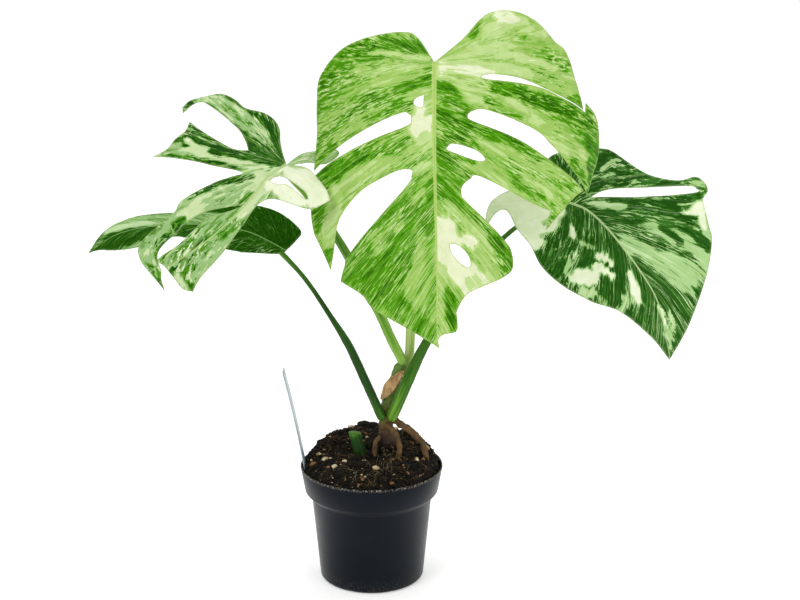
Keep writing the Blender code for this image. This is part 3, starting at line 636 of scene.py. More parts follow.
def fill(loops, step):
    """Flat points and triangles inside the first loop and outside the others, about STEP apart."""
    low = loops[0].min(axis=0)
    high = loops[0].max(axis=0)
    rows = []
    for row, t in enumerate(np.arange(low[1], high[1], step * ROW_SHARE)):
        for s in np.arange(low[0] + 0.5 * step * (row % 2), high[0], step):
            rows.append((s, t))
    grid = np.array(rows)
    grid = grid[inside(grid, loops[0])]
    for loop in loops:
        grid = grid[edge_distance(grid, loop) > 0.45 * step]
    for loop in loops[1:]:
        grid = grid[~inside(grid, loop)]
    edges = []
    first = 0
    for loop in loops:
        count = len(loop)
        edges += [(first + k, first + (k + 1) % count) for k in range(count)]
        first += count
    spots = [Vector(p) for p in np.vstack(loops + [grid])]
    corners, _, triangles, _, _, _ = delaunay_2d_cdt(spots, edges, [], 0, 1e-5)
    flat = np.array([tuple(c) for c in corners])
    faces = np.array([tuple(t) for t in triangles])
    middle = flat[faces].mean(axis=1)
    keep = inside(middle, loops[0])
    for loop in loops[1:]:
        keep &= ~inside(middle, loop)
    faces = faces[keep]
    one, two, three = (flat[faces[:, k]] for k in range(3))
    first_way = two - one
    other_way = three - one
    turn = first_way[:, 0] * other_way[:, 1] - first_way[:, 1] * other_way[:, 0]
    faces[turn < 0] = faces[turn < 0][:, ::-1]
    used = np.unique(faces)
    lookup = np.zeros(len(flat), int)
    lookup[used] = np.arange(len(used))
    return flat[used], lookup[faces]


def closed_shell(faces, count):
    """Faces of a top sheet, of the bottom sheet COUNT points further on, and of the edge between them."""
    solid = [face[::-1] for face in faces] + [tuple(i + count for i in face) for face in faces]
    seen = set()
    for a, b, c in faces:
        seen.update(((a, b), (b, c), (c, a)))
    return solid + [(a, b, b + count, a + count) for a, b in seen if (b, a) not in seen]


def build_leaf(which, form, veins, base, strokes, step, material):
    """A draped blade with its ribs, veins and thin edge. Returns the drape."""
    pins, outline, holes = form
    drape = Drape(pins)
    loops = [np.vstack([smooth_line(line, step)[:-1] for line in outline])]
    loops += [smooth_line(hole + hole[:1], step * 0.7)[:-1] for hole in holes]
    flat, faces = fill(loops, step)
    count = len(flat)
    reach, start, across = veins(flat)
    margin = np.min([edge_distance(flat, loop) for loop in loops], axis=0)
    outward = np.hypot(flat[:, 0], flat[:, 1])
    level = np.column_stack([flat, np.zeros(count)])

    on_rib = smoothstep(-2.0, 1.0, flat[:, 1])
    rib = bell(across, 2.6 * np.clip(1.0 - outward / veins.length, 0.12, 1.0) ** 0.6) * on_rib
    groove = 0.5 * bell(across, 0.6) * rib
    off_vein = np.abs(start - VEIN_GAP * np.round(start / VEIN_GAP))
    lateral = bell(off_vein, 0.9) * smoothstep(0.0, 8.0, reach)
    cushion = np.sin(math.pi * start / VEIN_GAP) ** 2 * smoothstep(2.0, 25.0, reach)
    cushion *= smoothstep(0.0, 10.0, margin)
    waves = lumps(level, 0.045, 5.0) * smoothstep(0.0, 12.0, reach)
    relief = 0.5 * cushion - 0.25 * lateral + 0.7 * waves
    half = 0.16 + 0.30 * smoothstep(0.0, 6.0, margin)
    place = drape(flat)
    out = drape.normal(flat) * MM
    top = place - out * (relief + half + 0.45 * rib - groove)[:, None]
    bottom = place - out * (relief - half - 1.3 * rib - 0.3 * lateral)[:, None]

    marks = {"flat": level, "vein": np.column_stack([reach, start, across]),
             "tone": paint(flat, veins, base, strokes), "ribbed": on_rib, "outward": outward,
             "margin": bell(margin, 0.5)}
    marks = {key: np.concatenate([values, values]) for key, values in marks.items()}
    marks["under"] = np.repeat((0.0, 1.0), count)
    solid = closed_shell([tuple(face) for face in faces.tolist()], count)
    mesh_object("blade_" + which, np.vstack([top, bottom]), solid, material, "leaf_" + which, **marks)
    return drape


LEFT_MIDRIB = [(0, 0), (2, 22), (10, 45), (18, 70), (22, 100), (15, 133)]
RIGHT_MIDRIB = [(0, 0), (10, 15), (16, 40), (18, 60), (19, 80), (18, 105), (12, 125), (0, 153)]
# Brush strokes of each leaf: from and to (across, along) in mm, half width, tone
FRONT_STROKES = [
    ((-5, -4), (-75, -22), 12, 0.14), ((-60, -24), (-95, -5), 10, 0.20), ((-98, 0), (-100, 60), 9, 0.27),
    ((-8, 0), (-75, 2), 7, 0.46), ((-5, -2), (-50, -13), 1.6, 0.66), ((-20, 3), (-60, 6), 4, 0.64),
    ((-12, 12), (-48, 14), 5, 0.60), ((-75, -5), (-92, 25), 11, 0.30), ((-60, 15), (-98, 40), 9, 0.43),
    ((-6, 16), (-45, 30), 4, 0.17), ((-8, 26), (-30, 33), 4, 0.62), ((-25, 38), (-70, 52), 6, 0.32),
    ((-60, 48), (-98, 62), 5, 0.50), ((-85, 62), (-104, 76), 4, 0.14), ((-8, 44), (-10, 58), 9, 0.92),
    ((-4, 30), (-4, 42), 3.5, 0.66), ((-30, 66), (-98, 88), 8, 0.12), ((-25, 62), (-45, 68), 4, 0.44),
    ((-10, 74), (-70, 92), 8, 0.63), ((-6, 66), (-8, 84), 7, 0.70), ((-97, 90), (-100, 125), 7, 0.25),
    ((-80, 100), (-90, 140), 7, 0.66), ((-90, 150), (-86, 160), 5, 0.34), ((-5, 105), (-60, 165), 30, 0.22),
    ((-4, 92), (-24, 102), 7, 0.42), ((-5, 88), (-15, 90), 4, 0.62), ((-10, 112), (-50, 140), 2.6, 0.58),
    ((-50, 150), (-68, 172), 8, 0.16), ((-10, 150), (-22, 195), 4.5, 0.58), ((-30, 130), (-45, 150), 5, 0.46),
    ((-5, 185), (-6, 205), 5, 0.46), ((-35, 190), (-10, 215), 8, 0.20), ((-14, 140), (-40, 185), 4, 0.16),
    ((10, -5), (100, -10), 45, 0.60), ((35, -38), (28, -22), 3.5, 0.20), ((50, -40), (72, -36), 6, 0.84),
    ((40, -25), (90, -30), 6, 0.68), ((70, -20), (108, -8), 9, 0.48), ((30, -12), (100, -2), 4, 0.70),
    ((80, 5), (118, 18), 8, 0.56), ((6, 5), (40, 8), 6, 0.84), ((40, 4), (75, 6), 4, 0.76),
    ((5, 16), (45, 20), 4, 0.52), ((48, 21), (118, 36), 7, 0.10), ((118, 30), (134, 60), 12, 0.14),
    ((12, 24), (60, 36), 5, 0.68), ((52, 33), (70, 40), 3.5, 0.42), ((60, 38), (118, 72), 9, 0.62),
    ((40, 32), (70, 44), 3, 0.44), ((100, 60), (126, 95), 7, 0.58), ((108, 78), (128, 100), 4, 0.18),
    ((130, 70), (128, 98), 4, 0.16), ((5, 22), (24, 44), 8, 0.18), ((20, 48), (75, 74), 7, 0.13),
    ((75, 74), (95, 84), 4, 0.24), ((6, 58), (38, 68), 2.4, 0.62), ((40, 72), (100, 92), 5, 0.50),
    ((85, 84), (118, 98), 5, 0.60), ((38, 88), (85, 108), 8, 0.66), ((42, 84), (60, 96), 4, 0.42),
    ((62, 98), (82, 108), 4, 0.28), ((88, 114), (90, 128), 5, 0.28), ((5, 40), (22, 70), 8, 0.20),
    ((5, 72), (18, 100), 9, 0.18), ((24, 88), (36, 94), 3, 0.62), ((4, 105), (28, 135), 9, 0.24),
    ((24, 118), (50, 150), 7, 0.34), ((8, 122), (35, 142), 4, 0.64), ((46, 148), (56, 168), 8, 0.18),
    ((28, 140), (44, 172), 7, 0.62), ((6, 138), (12, 162), 9, 0.94), ((6, 160), (28, 182), 11, 0.95),
    ((20, 148), (28, 150), 4, 0.88), ((26, 180), (40, 180), 5, 0.78), ((3, 170), (5, 225), 4, 0.66),
    ((10, 190), (11, 210), 4, 0.16), ((6, 215), (4, 224), 3, 0.62),
]
LEFT_STROKES = [
    ((-2, 0), (-95, 0), 16, 0.08), ((-12, -3), (-90, -3), 3.0, 0.60), ((-35, -6), (-80, -7), 2.0, 0.66),
    ((-30, 3), (-95, 5), 2.2, 0.62), ((-50, 0), (-90, 1), 1.4, 0.32), ((-88, -2), (-104, 12), 5, 0.66),
    ((-106, 16), (-97, 30), 5, 0.10), ((-12, -9), (-48, -17), 5, 0.05), ((-60, -11), (-85, -8), 2, 0.08),
    ((-5, 8), (-55, 50), 22, 0.08), ((-5, 14), (-42, 48), 2.2, 0.76), ((-14, 24), (-60, 66), 2.6, 0.72),
    ((-48, 50), (-62, 52), 2.6, 0.80), ((-45, 44), (-52, 56), 2.4, 0.76), ((-60, 62), (-66, 74), 4, 0.56),
    ((-5, 30), (-18, 145), 12, 0.58), ((-14, 38), (-20, 78), 3.4, 0.10), ((-3, 20), (-12, 60), 2.6, 0.76),
    ((-6, 30), (-14, 52), 2.0, 0.16), ((0, 10), (6, 50), 3, 0.80), ((-10, 60), (-12, 100), 4, 0.68),
    ((-10, 100), (-7, 142), 4.5, 0.10), ((-22, 100), (-24, 140), 4, 0.54), ((-12, 148), (-6, 158), 4, 0.12),
    ((4, 22), (14, 60), 8, 0.72), ((8, 42), (12, 70), 3, 0.22), ((10, 68), (12, 92), 9, 0.50),
    ((20, 85), (28, 100), 9, 0.34), ((14, 120), (36, 125), 8, 0.34), ((30, 60), (35, 95), 4, 0.62),
    ((36, 100), (38, 120), 4, 0.66), ((8, 105), (12, 120), 5, 0.50), ((20, 132), (36, 134), 3, 0.64),
    ((6, -3), (42, -2), 15, 0.94), ((12, 21), (32, 18), 9, 0.93), ((1, -8), (-2, -62), 9, 0.62),
]
LOW_STROKES = [
    ((5, 5), (35, 40), 18, 0.18), ((-40, -5), (-30, 30), 30, 0.05), ((-20, 70), (-40, 90), 26, 0.52),
    ((-20, 105), (-35, 135), 24, 0.58), ((-12, 118), (-14, 150), 7, 0.76), ((5, 110), (8, 155), 16, 0.14),
    ((-8, 160), (0, 168), 6, 0.42), ((24, 120), (22, 138), 3, 0.50),
]
RIGHT_STROKES = [
    ((-52, -28), (-30, -5), 22, 0.96), ((-45, 5), (-46, 16), 8, 0.96), ((-30, -5), (-28, 8), 8, 0.96),
    ((-16, -10), (-14, 2), 8, 0.95), ((-62, -22), (-70, -18), 6, 0.84), ((-28, 6), (-8, 0), 2.2, 0.58),
    ((0, -30), (60, -10), 30, 0.08), ((22, -12), (50, -5), 1.8, 0.52), ((45, -12), (62, -14), 2, 0.64),
    ((20, -25), (40, -22), 2, 0.34), ((60, -8), (72, 5), 3, 0.30), ((100, 42), (106, 50), 6, 0.46),
    ((20, 15), (40, 28), 2.4, 0.64), ((12, 9), (30, 20), 1.4, 0.74), ((22, 58), (45, 108), 11, 0.60),
    ((35, 72), (70, 104), 17, 0.62), ((60, 76), (84, 80), 12, 0.60), ((45, 54), (60, 70), 7, 0.60),
    ((34, 50), (48, 72), 5, 0.10), ((48, 72), (62, 90), 3.6, 0.12), ((56, 58), (62, 76), 3, 0.12),
    ((68, 52), (76, 75), 5, 0.10), ((76, 75), (80, 92), 3.6, 0.10), ((85, 55), (92, 60), 6, 0.96),
    ((90, 68), (86, 74), 3, 0.92), ((95, 48), (84, 52), 4, 0.16), ((20, 72), (34, 118), 5.5, 0.10),
    ((24, 100), (28, 140), 7, 0.10), ((34, 118), (38, 128), 6, 0.14), ((16, 115), (8, 140), 2.0, 0.84),
    ((22, 122), (14, 136), 1.4, 0.70), ((5, 147), (12, 136), 1.4, 0.62), ((-30, 58), (-18, 68), 7.5, 0.97),
    ((-32, 74), (-26, 80), 4.5, 0.70), ((-5, 55), (2, 62), 3, 0.94), ((-12, 60), (-4, 72), 3, 0.92),
    ((-10, 22), (-14, 28), 2.2, 0.92), ((-22, 42), (-32, 50), 4, 0.46), ((-5, 45), (-10, 35), 1.8, 0.52),
    ((10, 80), (2, 106), 3.4, 0.88), ((-5, 96), (-14, 100), 5, 0.62), ((-12, 78), (-14, 92), 6, 0.0),
    ((-25, 86), (-22, 92), 3, 0.38), ((0, 110), (8, 130), 6, 0.20),
]
# Each blade: pins, outline and holes; vein coordinates; tone under the strokes; strokes; step; look
LEAVES = {
    "front": ((FRONT_PINS, FRONT_OUTLINE, FRONT_HOLES), Veins([(0, 0), (0, 229)], 0.15, 0.0075),
              0.40, FRONT_STROKES, 1.8, dict(
        colours=(srgb(44, 102, 2), srgb(72, 142, 4), srgb(98, 164, 28), srgb(132, 182, 78),
                 srgb(160, 196, 108), srgb(188, 214, 148), srgb(226, 232, 206)),
        edges=(0.10, 0.33, 0.40, 0.51, 0.64, 0.81), vein_colour=srgb(178, 204, 112),
        seed=1.0, rib_width=2.0, length=229.0)),
    "left": ((LEFT_PINS, LEFT_OUTLINE, LEFT_HOLES), Veins(LEFT_MIDRIB, fan=True),
             0.45, LEFT_STROKES, 1.5, dict(
        colours=(srgb(22, 72, 4), srgb(42, 98, 14), srgb(78, 142, 24), srgb(116, 158, 88),
                 srgb(150, 186, 128), srgb(196, 214, 172), srgb(230, 236, 218)),
        edges=(0.16, 0.28, 0.42, 0.52, 0.66, 0.82), vein_colour=srgb(176, 202, 132),
        seed=7.0, rib_width=1.4, length=150.0, mottle=(1.2, 1.0, 0.44))),
    "low": ((LOW_PINS, LOW_OUTLINE, []), Veins([(0, 0), (-2, 90), (0, 170)], 0.4, 0.010),
            0.15, LOW_STROKES, 1.8, dict(
        colours=(srgb(26, 70, 6), srgb(38, 88, 14), srgb(62, 114, 34), srgb(96, 144, 72),
                 srgb(152, 188, 130), srgb(186, 212, 168), srgb(222, 232, 212)),
        edges=(0.14, 0.36, 0.46, 0.54, 0.72, 0.86), vein_colour=srgb(128, 168, 96),
        seed=11.0, rib_width=1.2, length=170.0, mottle=(0.6, 0.5, 0.36),
        gloss=0.38, shine=0.0, pale_under=0.06, vein_show=0.10)),
    "right": ((RIGHT_PINS, RIGHT_OUTLINE, RIGHT_HOLES), Veins(RIGHT_MIDRIB, 0.45, 0.025),
              0.12, RIGHT_STROKES, 1.6, dict(
        colours=(srgb(30, 80, 12), srgb(54, 110, 34), srgb(84, 136, 60), srgb(130, 172, 102),
                 srgb(170, 206, 146), srgb(196, 220, 176), srgb(234, 240, 222)),
        edges=(0.18, 0.38, 0.44, 0.50, 0.66, 0.80), vein_colour=srgb(186, 210, 150),
        seed=17.0, rib_width=1.1, length=154.0, mottle=(1.0, 0.6, 0.40),
        pale_under=0.10, vein_show=0.18)),
}


def build_leaves():
    drapes = {}
    for which, (form, veins, base, strokes, step, look) in LEAVES.items():
        skin = leaf_look(which + "_leaf_surface", **look)
        drapes[which] = build_leaf(which, form, veins, base, strokes, step, skin)
    return drapes


# ---------------------------------------------------------------- stem, stalks and roots
# Paths are plant positions and radii are millimetres, spread evenly along the path
STEM_PATH = [(15, 6, -12), (13, 2, 21), (12, 0, 40), (16, 0, 62), (21, 0, 78), (24, 0, 86)]
STEM_RADII = [6.3, 6.6, 6.0, 5.6, 5.2, 4.6]
STEM_RINGS = [(0.34, 0.03, 0.07), (0.62, 0.025, 0.08), (0.85, 0.03, 0.06)]  # share of length, width, rise
STEM_GREEN_FROM = 0.118
STEM_GREEN_TO = 0.170
FRONT_SIDE = math.radians(59.0)
# Each stalk: radii, tones, channel (depth, wing, where the wing starts and ends), path between its ends
STALKS = {
    "low": ((4.2, 4.1, 4.0, 3.6, 2.4, 2.1, 2.0, 2.4), (0.30, 0.16, 0.14, 0.16, 0.20, 0.24, 0.34, 0.46),
            (0.3,), [(3, -9, 60), (-6, -6, 80), (-18, -3, 106), (-34, 0, 132), (-50, 4, 156), (-61, 8, 169)]),
    "right": ((5.4, 5.6, 4.4, 3.4, 2.7, 2.2, 2.0, 2.1), (0.46, 0.34, 0.28, 0.24, 0.24, 0.30, 0.34, 0.5),
              (0.4, 0.25, 0.0, 0.5), [(25, -12, 64), (35, -9, 87), (46, -2, 108), (65, 9, 137),
                                      (90, 18, 170), (114, 24, 195), (138, 31, 209)]),
    "left": ((4.5, 4.5, 4.4, 4.2, 3.8, 3.2, 2.6, 2.6), (0.60, 0.52, 0.46, 0.44, 0.42, 0.46, 0.52, 0.58),
             (0.35, 0.9, 0.1, 0.85), [(17, -2, 112), (8, -2, 133), (-7, 0, 161), (-21, 0, 187),
                                      (-35, -3, 211), (-50, -9, 234)]),
    "front": ((4.4, 4.6, 4.2, 3.6, 3.2, 2.8, 2.6), (0.78, 0.74, 0.66, 0.60, 0.58, 0.60, 0.7),
              (0.35, 0.3, 0.0, 0.6),
              [(33, 10, 108), (34, 12, 133), (38, 15, 192), (44, 12, 260), (49, 2, 312)]),
}
STALK_STOPS = ((0.0, srgb(18, 46, 4)), (0.20, srgb(32, 76, 8)), (0.38, srgb(64, 112, 22)),
               (0.52, srgb(108, 156, 46)), (0.66, srgb(150, 186, 84)), (0.80, srgb(190, 208, 134)),
               (0.92, srgb(220, 226, 184)))
# Each root: height and bearing where it leaves the stem, path after that, radii
ROOTS = {
    "aerial_root_front": (38, 289, [(21, -13, 31), (23.5, -16, 18), (20, -19, -6)], (2.4, 2.2, 2.0, 1.7)),
    "aerial_root_right": (42, 340, [(27, -7, 37), (37, -8, 29), (44, -9, 19), (48, -10, -4)],
                          (2.8, 3.0, 2.6, 2.2, 1.8)),
    "aerial_root_left": (26, 205, [(3, -10, 20), (3, -13, -4)], (2.0, 1.9, 1.6)),
    "aerial_root_back": (32, 95, [(13, 13, 24), (12, 18, -2)], (1.9, 1.8, 1.5)),
}
STUB_PATH = [(-5, -10, -10), (-9, -10, 12), (-14, -10, 32)]
STUB_RADII = (5.4, 5.6, 4.8)
STUB_SIDES = 28
STUB_SLANT = 0.35
# The sheath wraps the stem from its foot upwards: heights in mm, bearings and half widths in degrees
SHEATH_FOOT = 57.0
SHEATH_HEIGHT = 29.0
SHEATH_BEARING = 196.0
SHEATH_TURN = 92.0
SHEATH_NARROW = 9.0
SHEATH_WIDEN = 34.0
SHEATH_ROWS = 30
SHEATH_COLUMNS = 22


def tube(path, radii, sides, step, shape=None, rough=0.0, seed=0.0, blunt=True):
    """Points, faces and marks of a tube. SHAPE gives a factor from the share of length and the angle."""
    line = smooth_line(path, step * MM)
    along = travelled(line)
    share = along / along[-1]
    radius = np.interp(share, np.linspace(0.0, 1.0, len(radii)), np.array(radii) * MM)
    heading = np.gradient(line, along, axis=0)
    heading /= np.linalg.norm(heading, axis=1)[:, None]
    across = np.cross(heading[0], (0.0, 1.0, 0.2))
    points = []
    lengths = []
    turns = []

    def ring(k, centre, size, upper):
        side = np.cross(heading[k], upper)
        for angle in 2 * math.pi * np.arange(sides) / sides:
            factor = shape(share[k], angle) if shape else 1.0
            spot = centre + size * (math.cos(angle) * upper + math.sin(angle) * side)
            if rough:
                factor *= 1.0 + rough * noise.noise(Vector(spot * 260.0) + Vector((seed, 0.0, 0.0)))
            points.append(centre + (spot - centre) * factor)
            lengths.append(along[k])
            turns.append(angle)

    def cap(k, way, upper, leans):
        """Rings that round off an end, each at a share of a quarter turn."""
        for lean in leans:
            turn = lean * math.pi / 2
            ring(k, line[k] + way * radius[k] * math.cos(turn), radius[k] * math.sin(turn), upper)

    for k, way in enumerate(heading):
        across = unit(across - way * across.dot(way))
        if k == 0 and blunt:
            cap(0, -way, across, (0.3, 0.6, 0.85))
        ring(k, line[k], radius[k], across)
    if blunt:
        cap(-1, heading[-1], across, (0.85, 0.6, 0.3))
    rings = len(points) // sides
    faces = []
    for a in range(0, (rings - 1) * sides, sides):
        b = a + sides
        faces += [(a + k, a + (k + 1) % sides, b + (k + 1) % sides, b + k) for k in range(sides)]
    faces.append(tuple(range(sides))[::-1])
    faces.append(tuple(range((rings - 1) * sides, rings * sides)))
    return points, faces, {"along": np.array(lengths) / MM, "around": np.array(turns)}


def tones_along(marks, tones, shares=None):
    """Tones spread along a tube, evenly or at the given shares of its length."""
    shares = np.linspace(0.0, 1.0, len(tones)) if shares is None else shares
    return np.interp(marks["along"] / marks["along"].max(), shares, tones)


def stem_place(height):
    """Middle and radius of the stem at a height over the rim."""
    line = smooth_line(STEM_PATH, 2.0)
    x, y = (np.interp(height, line[:, 2], line[:, axis]) for axis in (0, 1))
    along = travelled(line)
    share = np.interp(height, line[:, 2], along / along[-1])
    return at(x, y, height), np.interp(share, np.linspace(0.0, 1.0, len(STEM_RADII)), STEM_RADII) * MM


def square_to_stem(height, angle):
    """Unit direction square to the stem at a height, turned ANGLE from +X."""
    heading = unit(stem_place(height + 3.0)[0] - stem_place(height - 3.0)[0])
    out = np.array([math.cos(angle), math.sin(angle), 0.0])
    return unit(out - heading * heading.dot(out))


def beside_stem(height, bearing, radius):
    """Middle of a tube of this radius lying against the stem, at a bearing in degrees from +X."""
    middle, stem_radius = stem_place(height)
    return middle + (stem_radius + radius * MM) * square_to_stem(height, math.radians(bearing))


def under_leaf(drape, radius):
    """Middle of a round stalk end lying under the blade where the midrib starts."""
    start = [(0.0, STALK_REACH)]
    return drape(start)[0] + drape.normal(start)[0] * (0.0002 + radius * MM)


def stalk_look(name, seed, gloss=0.42):
    """Green skin with pale streaks along the stalk, lighter where the tone is higher."""
    look = Look(name)
    place = look.join(look.mark("along"), look.mark("around"))
    streak = look.cloud(place, (0.02, 1.6, 1.0), 3.0, 0.6, 0.2, (seed, 0.0, 0.0))
    thread = look.cloud(place, (0.06, 6.0, 1.0), 3.0, 0.6, shift=(seed, 0.0, 0.0))
    level = look.plus(look.plus(look.mark("tone"), look.swing(streak, 0.6)), look.swing(thread, 0.24))
    look.set(Base_Color=look.ramp(level, *STALK_STOPS), Roughness=gloss, Specular_IOR_Level=0.18,
             Subsurface_Weight=0.08, Subsurface_Scale=0.002, Normal=look.bump(thread, 0.0003, 0.35))
    return look.material


def channel(depth, wing=0.0, low=0.0, high=1.0):
    """Cross-section with a channel on the leaf side and, if asked, a wing along one edge of it."""
    def factor(share, angle):
        dent = depth * (1.0 - 0.7 * share) * bell(angle - math.pi, 0.6)
        edge = bell(angle - 1.55 * math.pi, 0.24)
        rise = math.sin(math.pi * min(max((share - low) / (high - low), 0.0), 1.0)) ** 0.7
        return 1.0 - dent + wing * edge * rise
    return factor


def build_stalks(drapes):
    dark = stalk_look("dark_stalk_skin", 2.0)
    pale = stalk_look("pale_stalk_skin", 9.0)
    thick = {which: radii[0] * MM for which, (radii, *_) in STALKS.items()}
    top, stem_radius = stem_place(STEM_PATH[-1][2])
    lean = unit(np.array(STEM_PATH[-1], float) - np.array(STEM_PATH[-2], float))
    left_start = top + lean * (stem_radius + thick["left"] + GAP)
    aside = np.array([math.cos(FRONT_SIDE), math.sin(FRONT_SIDE), 0.0])
    past_left = thick["left"] + STALKS["front"][0][1] * MM + 2 * GAP
    starts = {
        "low": [beside_stem(46, 245, STALKS["low"][0][0])],
        "right": [beside_stem(48, 300, STALKS["right"][0][0])],
        "left": [top + lean * (stem_radius + thick["left"] * 0.5)],
        "front": [beside_stem(83, 40, STALKS["front"][0][0]), left_start + past_left * aside],
    }
    for which, (radii, tones, groove, middle) in STALKS.items():
        path = starts[which] + [at(*p) for p in middle] + [under_leaf(drapes[which], radii[-1])]
        points, faces, marks = tube(path, radii, sides=24, step=1.6, shape=channel(*groove), rough=0.05)
        skin = dark if which in ("low", "right") else pale
        mesh_object("stalk_" + which, points, faces, skin, "leafstalk_" + which,
                    tone=tones_along(marks, tones), **marks)


def bark_look(name, dark, light):
    """Fibrous brown skin."""
    look = Look(name)
    place = look.place()
    patch = look.cloud(place, (220.0, 220.0, 90.0), 5.0, 0.65)
    fibre = look.cloud(place, (900.0, 900.0, 160.0), 3.0, 0.6)
    level = look.plus(look.times(patch, 0.65), look.times(fibre, 0.35))
    look.set(Base_Color=look.ramp(level, (0.34, dark), (0.52, light), (0.68, shade(light, 1.5))),
             Roughness=0.85, Normal=look.bump(level, 0.0012, 0.8))
    return look.material


def build_stem():
    look = Look("stem_skin")
    place = look.place()
    patch = look.cloud(place, (160.0, 160.0, 70.0), 5.0, 0.65)
    up = look.remap(look.split(place)[2], STEM_GREEN_FROM, STEM_GREEN_TO, 0.0, 0.55)
    level = look.plus(up, look.math("MULTIPLY_ADD", patch, 0.7, -0.15))
    look.set(Base_Color=look.ramp(level, (0.15, srgb(38, 24, 12)), (0.34, srgb(84, 58, 30)),
                                  (0.5, srgb(104, 98, 38)), (0.7, srgb(92, 124, 44))),
             Roughness=0.75, Normal=look.bump(patch, 0.0015, 0.7))

    def knobbly(share, angle):
        return 1.0 + sum(rise * bell(share - where, width) for where, width, rise in STEM_RINGS)
    path = [at(*p) for p in STEM_PATH]
    points, faces, _ = tube(path, STEM_RADII, sides=32, step=1.2, shape=knobbly, rough=0.20)
    mesh_object("stem_body", points, faces, look.material, "main_stem")


def build_roots():
    skin = bark_look("root_skin", srgb(34, 22, 8), srgb(96, 70, 34))
    for k, (which, (height, bearing, places, radii)) in enumerate(ROOTS.items()):
        path = [beside_stem(height, bearing, 0.0)] + [at(*p) for p in places]
        points, faces, _ = tube(path, radii, sides=16, step=1.0, rough=0.42, seed=3.0 * k)
        mesh_object("root_" + which.split("_")[-1], points, faces, skin, which)


def build_stub():
    """The cut shoot, its top ring slanted like a knife cut."""
    skin = stalk_look("stub_skin", 5.0, 0.5)
    path = [at(*p) for p in STUB_PATH]
    points, faces, marks = tube(path, STUB_RADII, sides=STUB_SIDES, step=1.2, rough=0.05, blunt=False)
    points = np.array(points)
    cut = points[-STUB_SIDES:]
    points[-STUB_SIDES:] += np.outer((path[-1] - cut)[:, 0] * STUB_SLANT, unit(path[-1] - path[-2]))
    tone = tones_along(marks, (0.0, 0.03, 0.08, 0.36), (0.0, 0.5, 0.9, 1.0))
    mesh_object("stub_body", points, faces, skin, "cut_shoot_stub", tone=tone, **marks)


def build_sheath():
    """A dry scale wrapped round one side of the stem, its edges flared and its face wrinkled."""
    skin = bark_look("dry_sheath_skin", srgb(120, 84, 46), srgb(188, 152, 104))
    points = []
    for r in range(SHEATH_ROWS + 1):
        share = r / SHEATH_ROWS
        height = SHEATH_FOOT + SHEATH_HEIGHT * share
        bearing = SHEATH_BEARING + SHEATH_TURN * share
        spread = SHEATH_NARROW + SHEATH_WIDEN * math.sin(math.pi * share ** 0.8)
        middle, radius = stem_place(height)
        for c in range(SHEATH_COLUMNS + 1):
            across = 2.0 * c / SHEATH_COLUMNS - 1.0
            flare = (0.7 + 1.6 * abs(across) ** 3 + 1.2 * share ** 2) * MM
            wrinkle = 0.35 * MM * noise.noise(Vector((c * 0.45, r * 0.12, 0.0)))
            way = square_to_stem(height, math.radians(bearing + spread * across))
            points.append(middle + (radius + flare + wrinkle) * way)
    piece = mesh_object("sheath_scale", points, quads(SHEATH_ROWS, SHEATH_COLUMNS), skin, "dry_leaf_sheath")
    thicken(piece, SHEATH_THICKNESS)


# ---------------------------------------------------------------- soil
SOIL_RADIUS = POT_TOP_RADIUS - COLLAR_TAPER * SOIL_EDGE_DROP / COLLAR_HEIGHT - POT_WALL - GAP
# The solid model's ten granules: place and radius in mm
GRANULES = [(-38, -16, 3.2), (-30, -30, 2.6), (-44, -4, 2.4), (-22, -24, 2.2), (4, -36, 3.0), (38, -18, 2.6),
            (46, 6, 2.8), (-18, 34, 2.8), (20, 36, 3.0), (-6, -22, 2.0)]


def soil_height(x, y):
    """Height of the heaped soil over the floor: flat-topped, higher at the back, with soft bumps."""
    reach = math.hypot(x, y) / SOIL_RADIUS
    edge = reach ** 8
    dome = SOIL_RISE * (1.0 - 0.3 * reach ** 2 - 0.7 * edge) - SOIL_EDGE_DROP * edge
    back = min(max((y / SOIL_RADIUS - SOIL_BACK_START) / SOIL_BACK_SPAN, 0.0), 1.0)
    heap = SOIL_BACK_RISE * back * back * (3.0 - 2.0 * back) * (1.0 - edge)
    bumps = SOIL_LUMPS * noise.noise(Vector((x * 90.0, y * 90.0, 3.7))) * (1.0 - 0.7 * reach ** 4)
    return POT_HEIGHT + dome + heap + bumps


def soil_look():
    look = Look("peat")
    place = look.place()
    clod = look.cloud(place, 150.0, 6.0, 0.7)
    level = look.plus(look.times(clod, 0.75), look.times(look.cells(place, 520.0), 0.3))
    look.set(Base_Color=look.ramp(level, (0.38, srgb(6, 4, 1)), (0.56, srgb(20, 14, 5)),
                                  (0.70, srgb(46, 38, 18)), (0.78, srgb(92, 90, 76))),
             Roughness=0.95, Specular_IOR_Level=0.25, Normal=look.bump(level, 0.003, 1.0))
    return look.material


def build_soil(material):
    """The heap as rings round its middle, closed below the rim."""
    rings = 64
    sides = 180
    points = [(0.0, 0.0, soil_height(0.0, 0.0))]
    for r in range(1, rings + 1):
        for x, y, _ in circle(SOIL_RADIUS * r / rings, 0.0, sides):
            rough = 0.0016 * noise.fractal(Vector((x * 240.0, y * 240.0, 0.0)), 1.0, 2.1, 4)
            clods = 0.0022 * max(0.0, noise.noise(Vector((x * 130.0, y * 130.0, 9.0)))) * (r < rings)
            points.append((x, y, soil_height(x, y) + rough + clods))
    points += circle(SOIL_RADIUS * 0.93, POT_HEIGHT - 0.02, sides)
    faces = [(0, 1 + k, 1 + (k + 1) % sides) for k in range(sides)]
    for r in range(rings):
        a = 1 + r * sides
        b = a + sides
        faces += [(a + k, b + k, b + (k + 1) % sides, a + (k + 1) % sides) for k in range(sides)]
    faces.append(tuple(range(1 + rings * sides, 1 + (rings + 1) * sides))[::-1])
    mesh_object("soil_heap", points, faces, material, "soil")


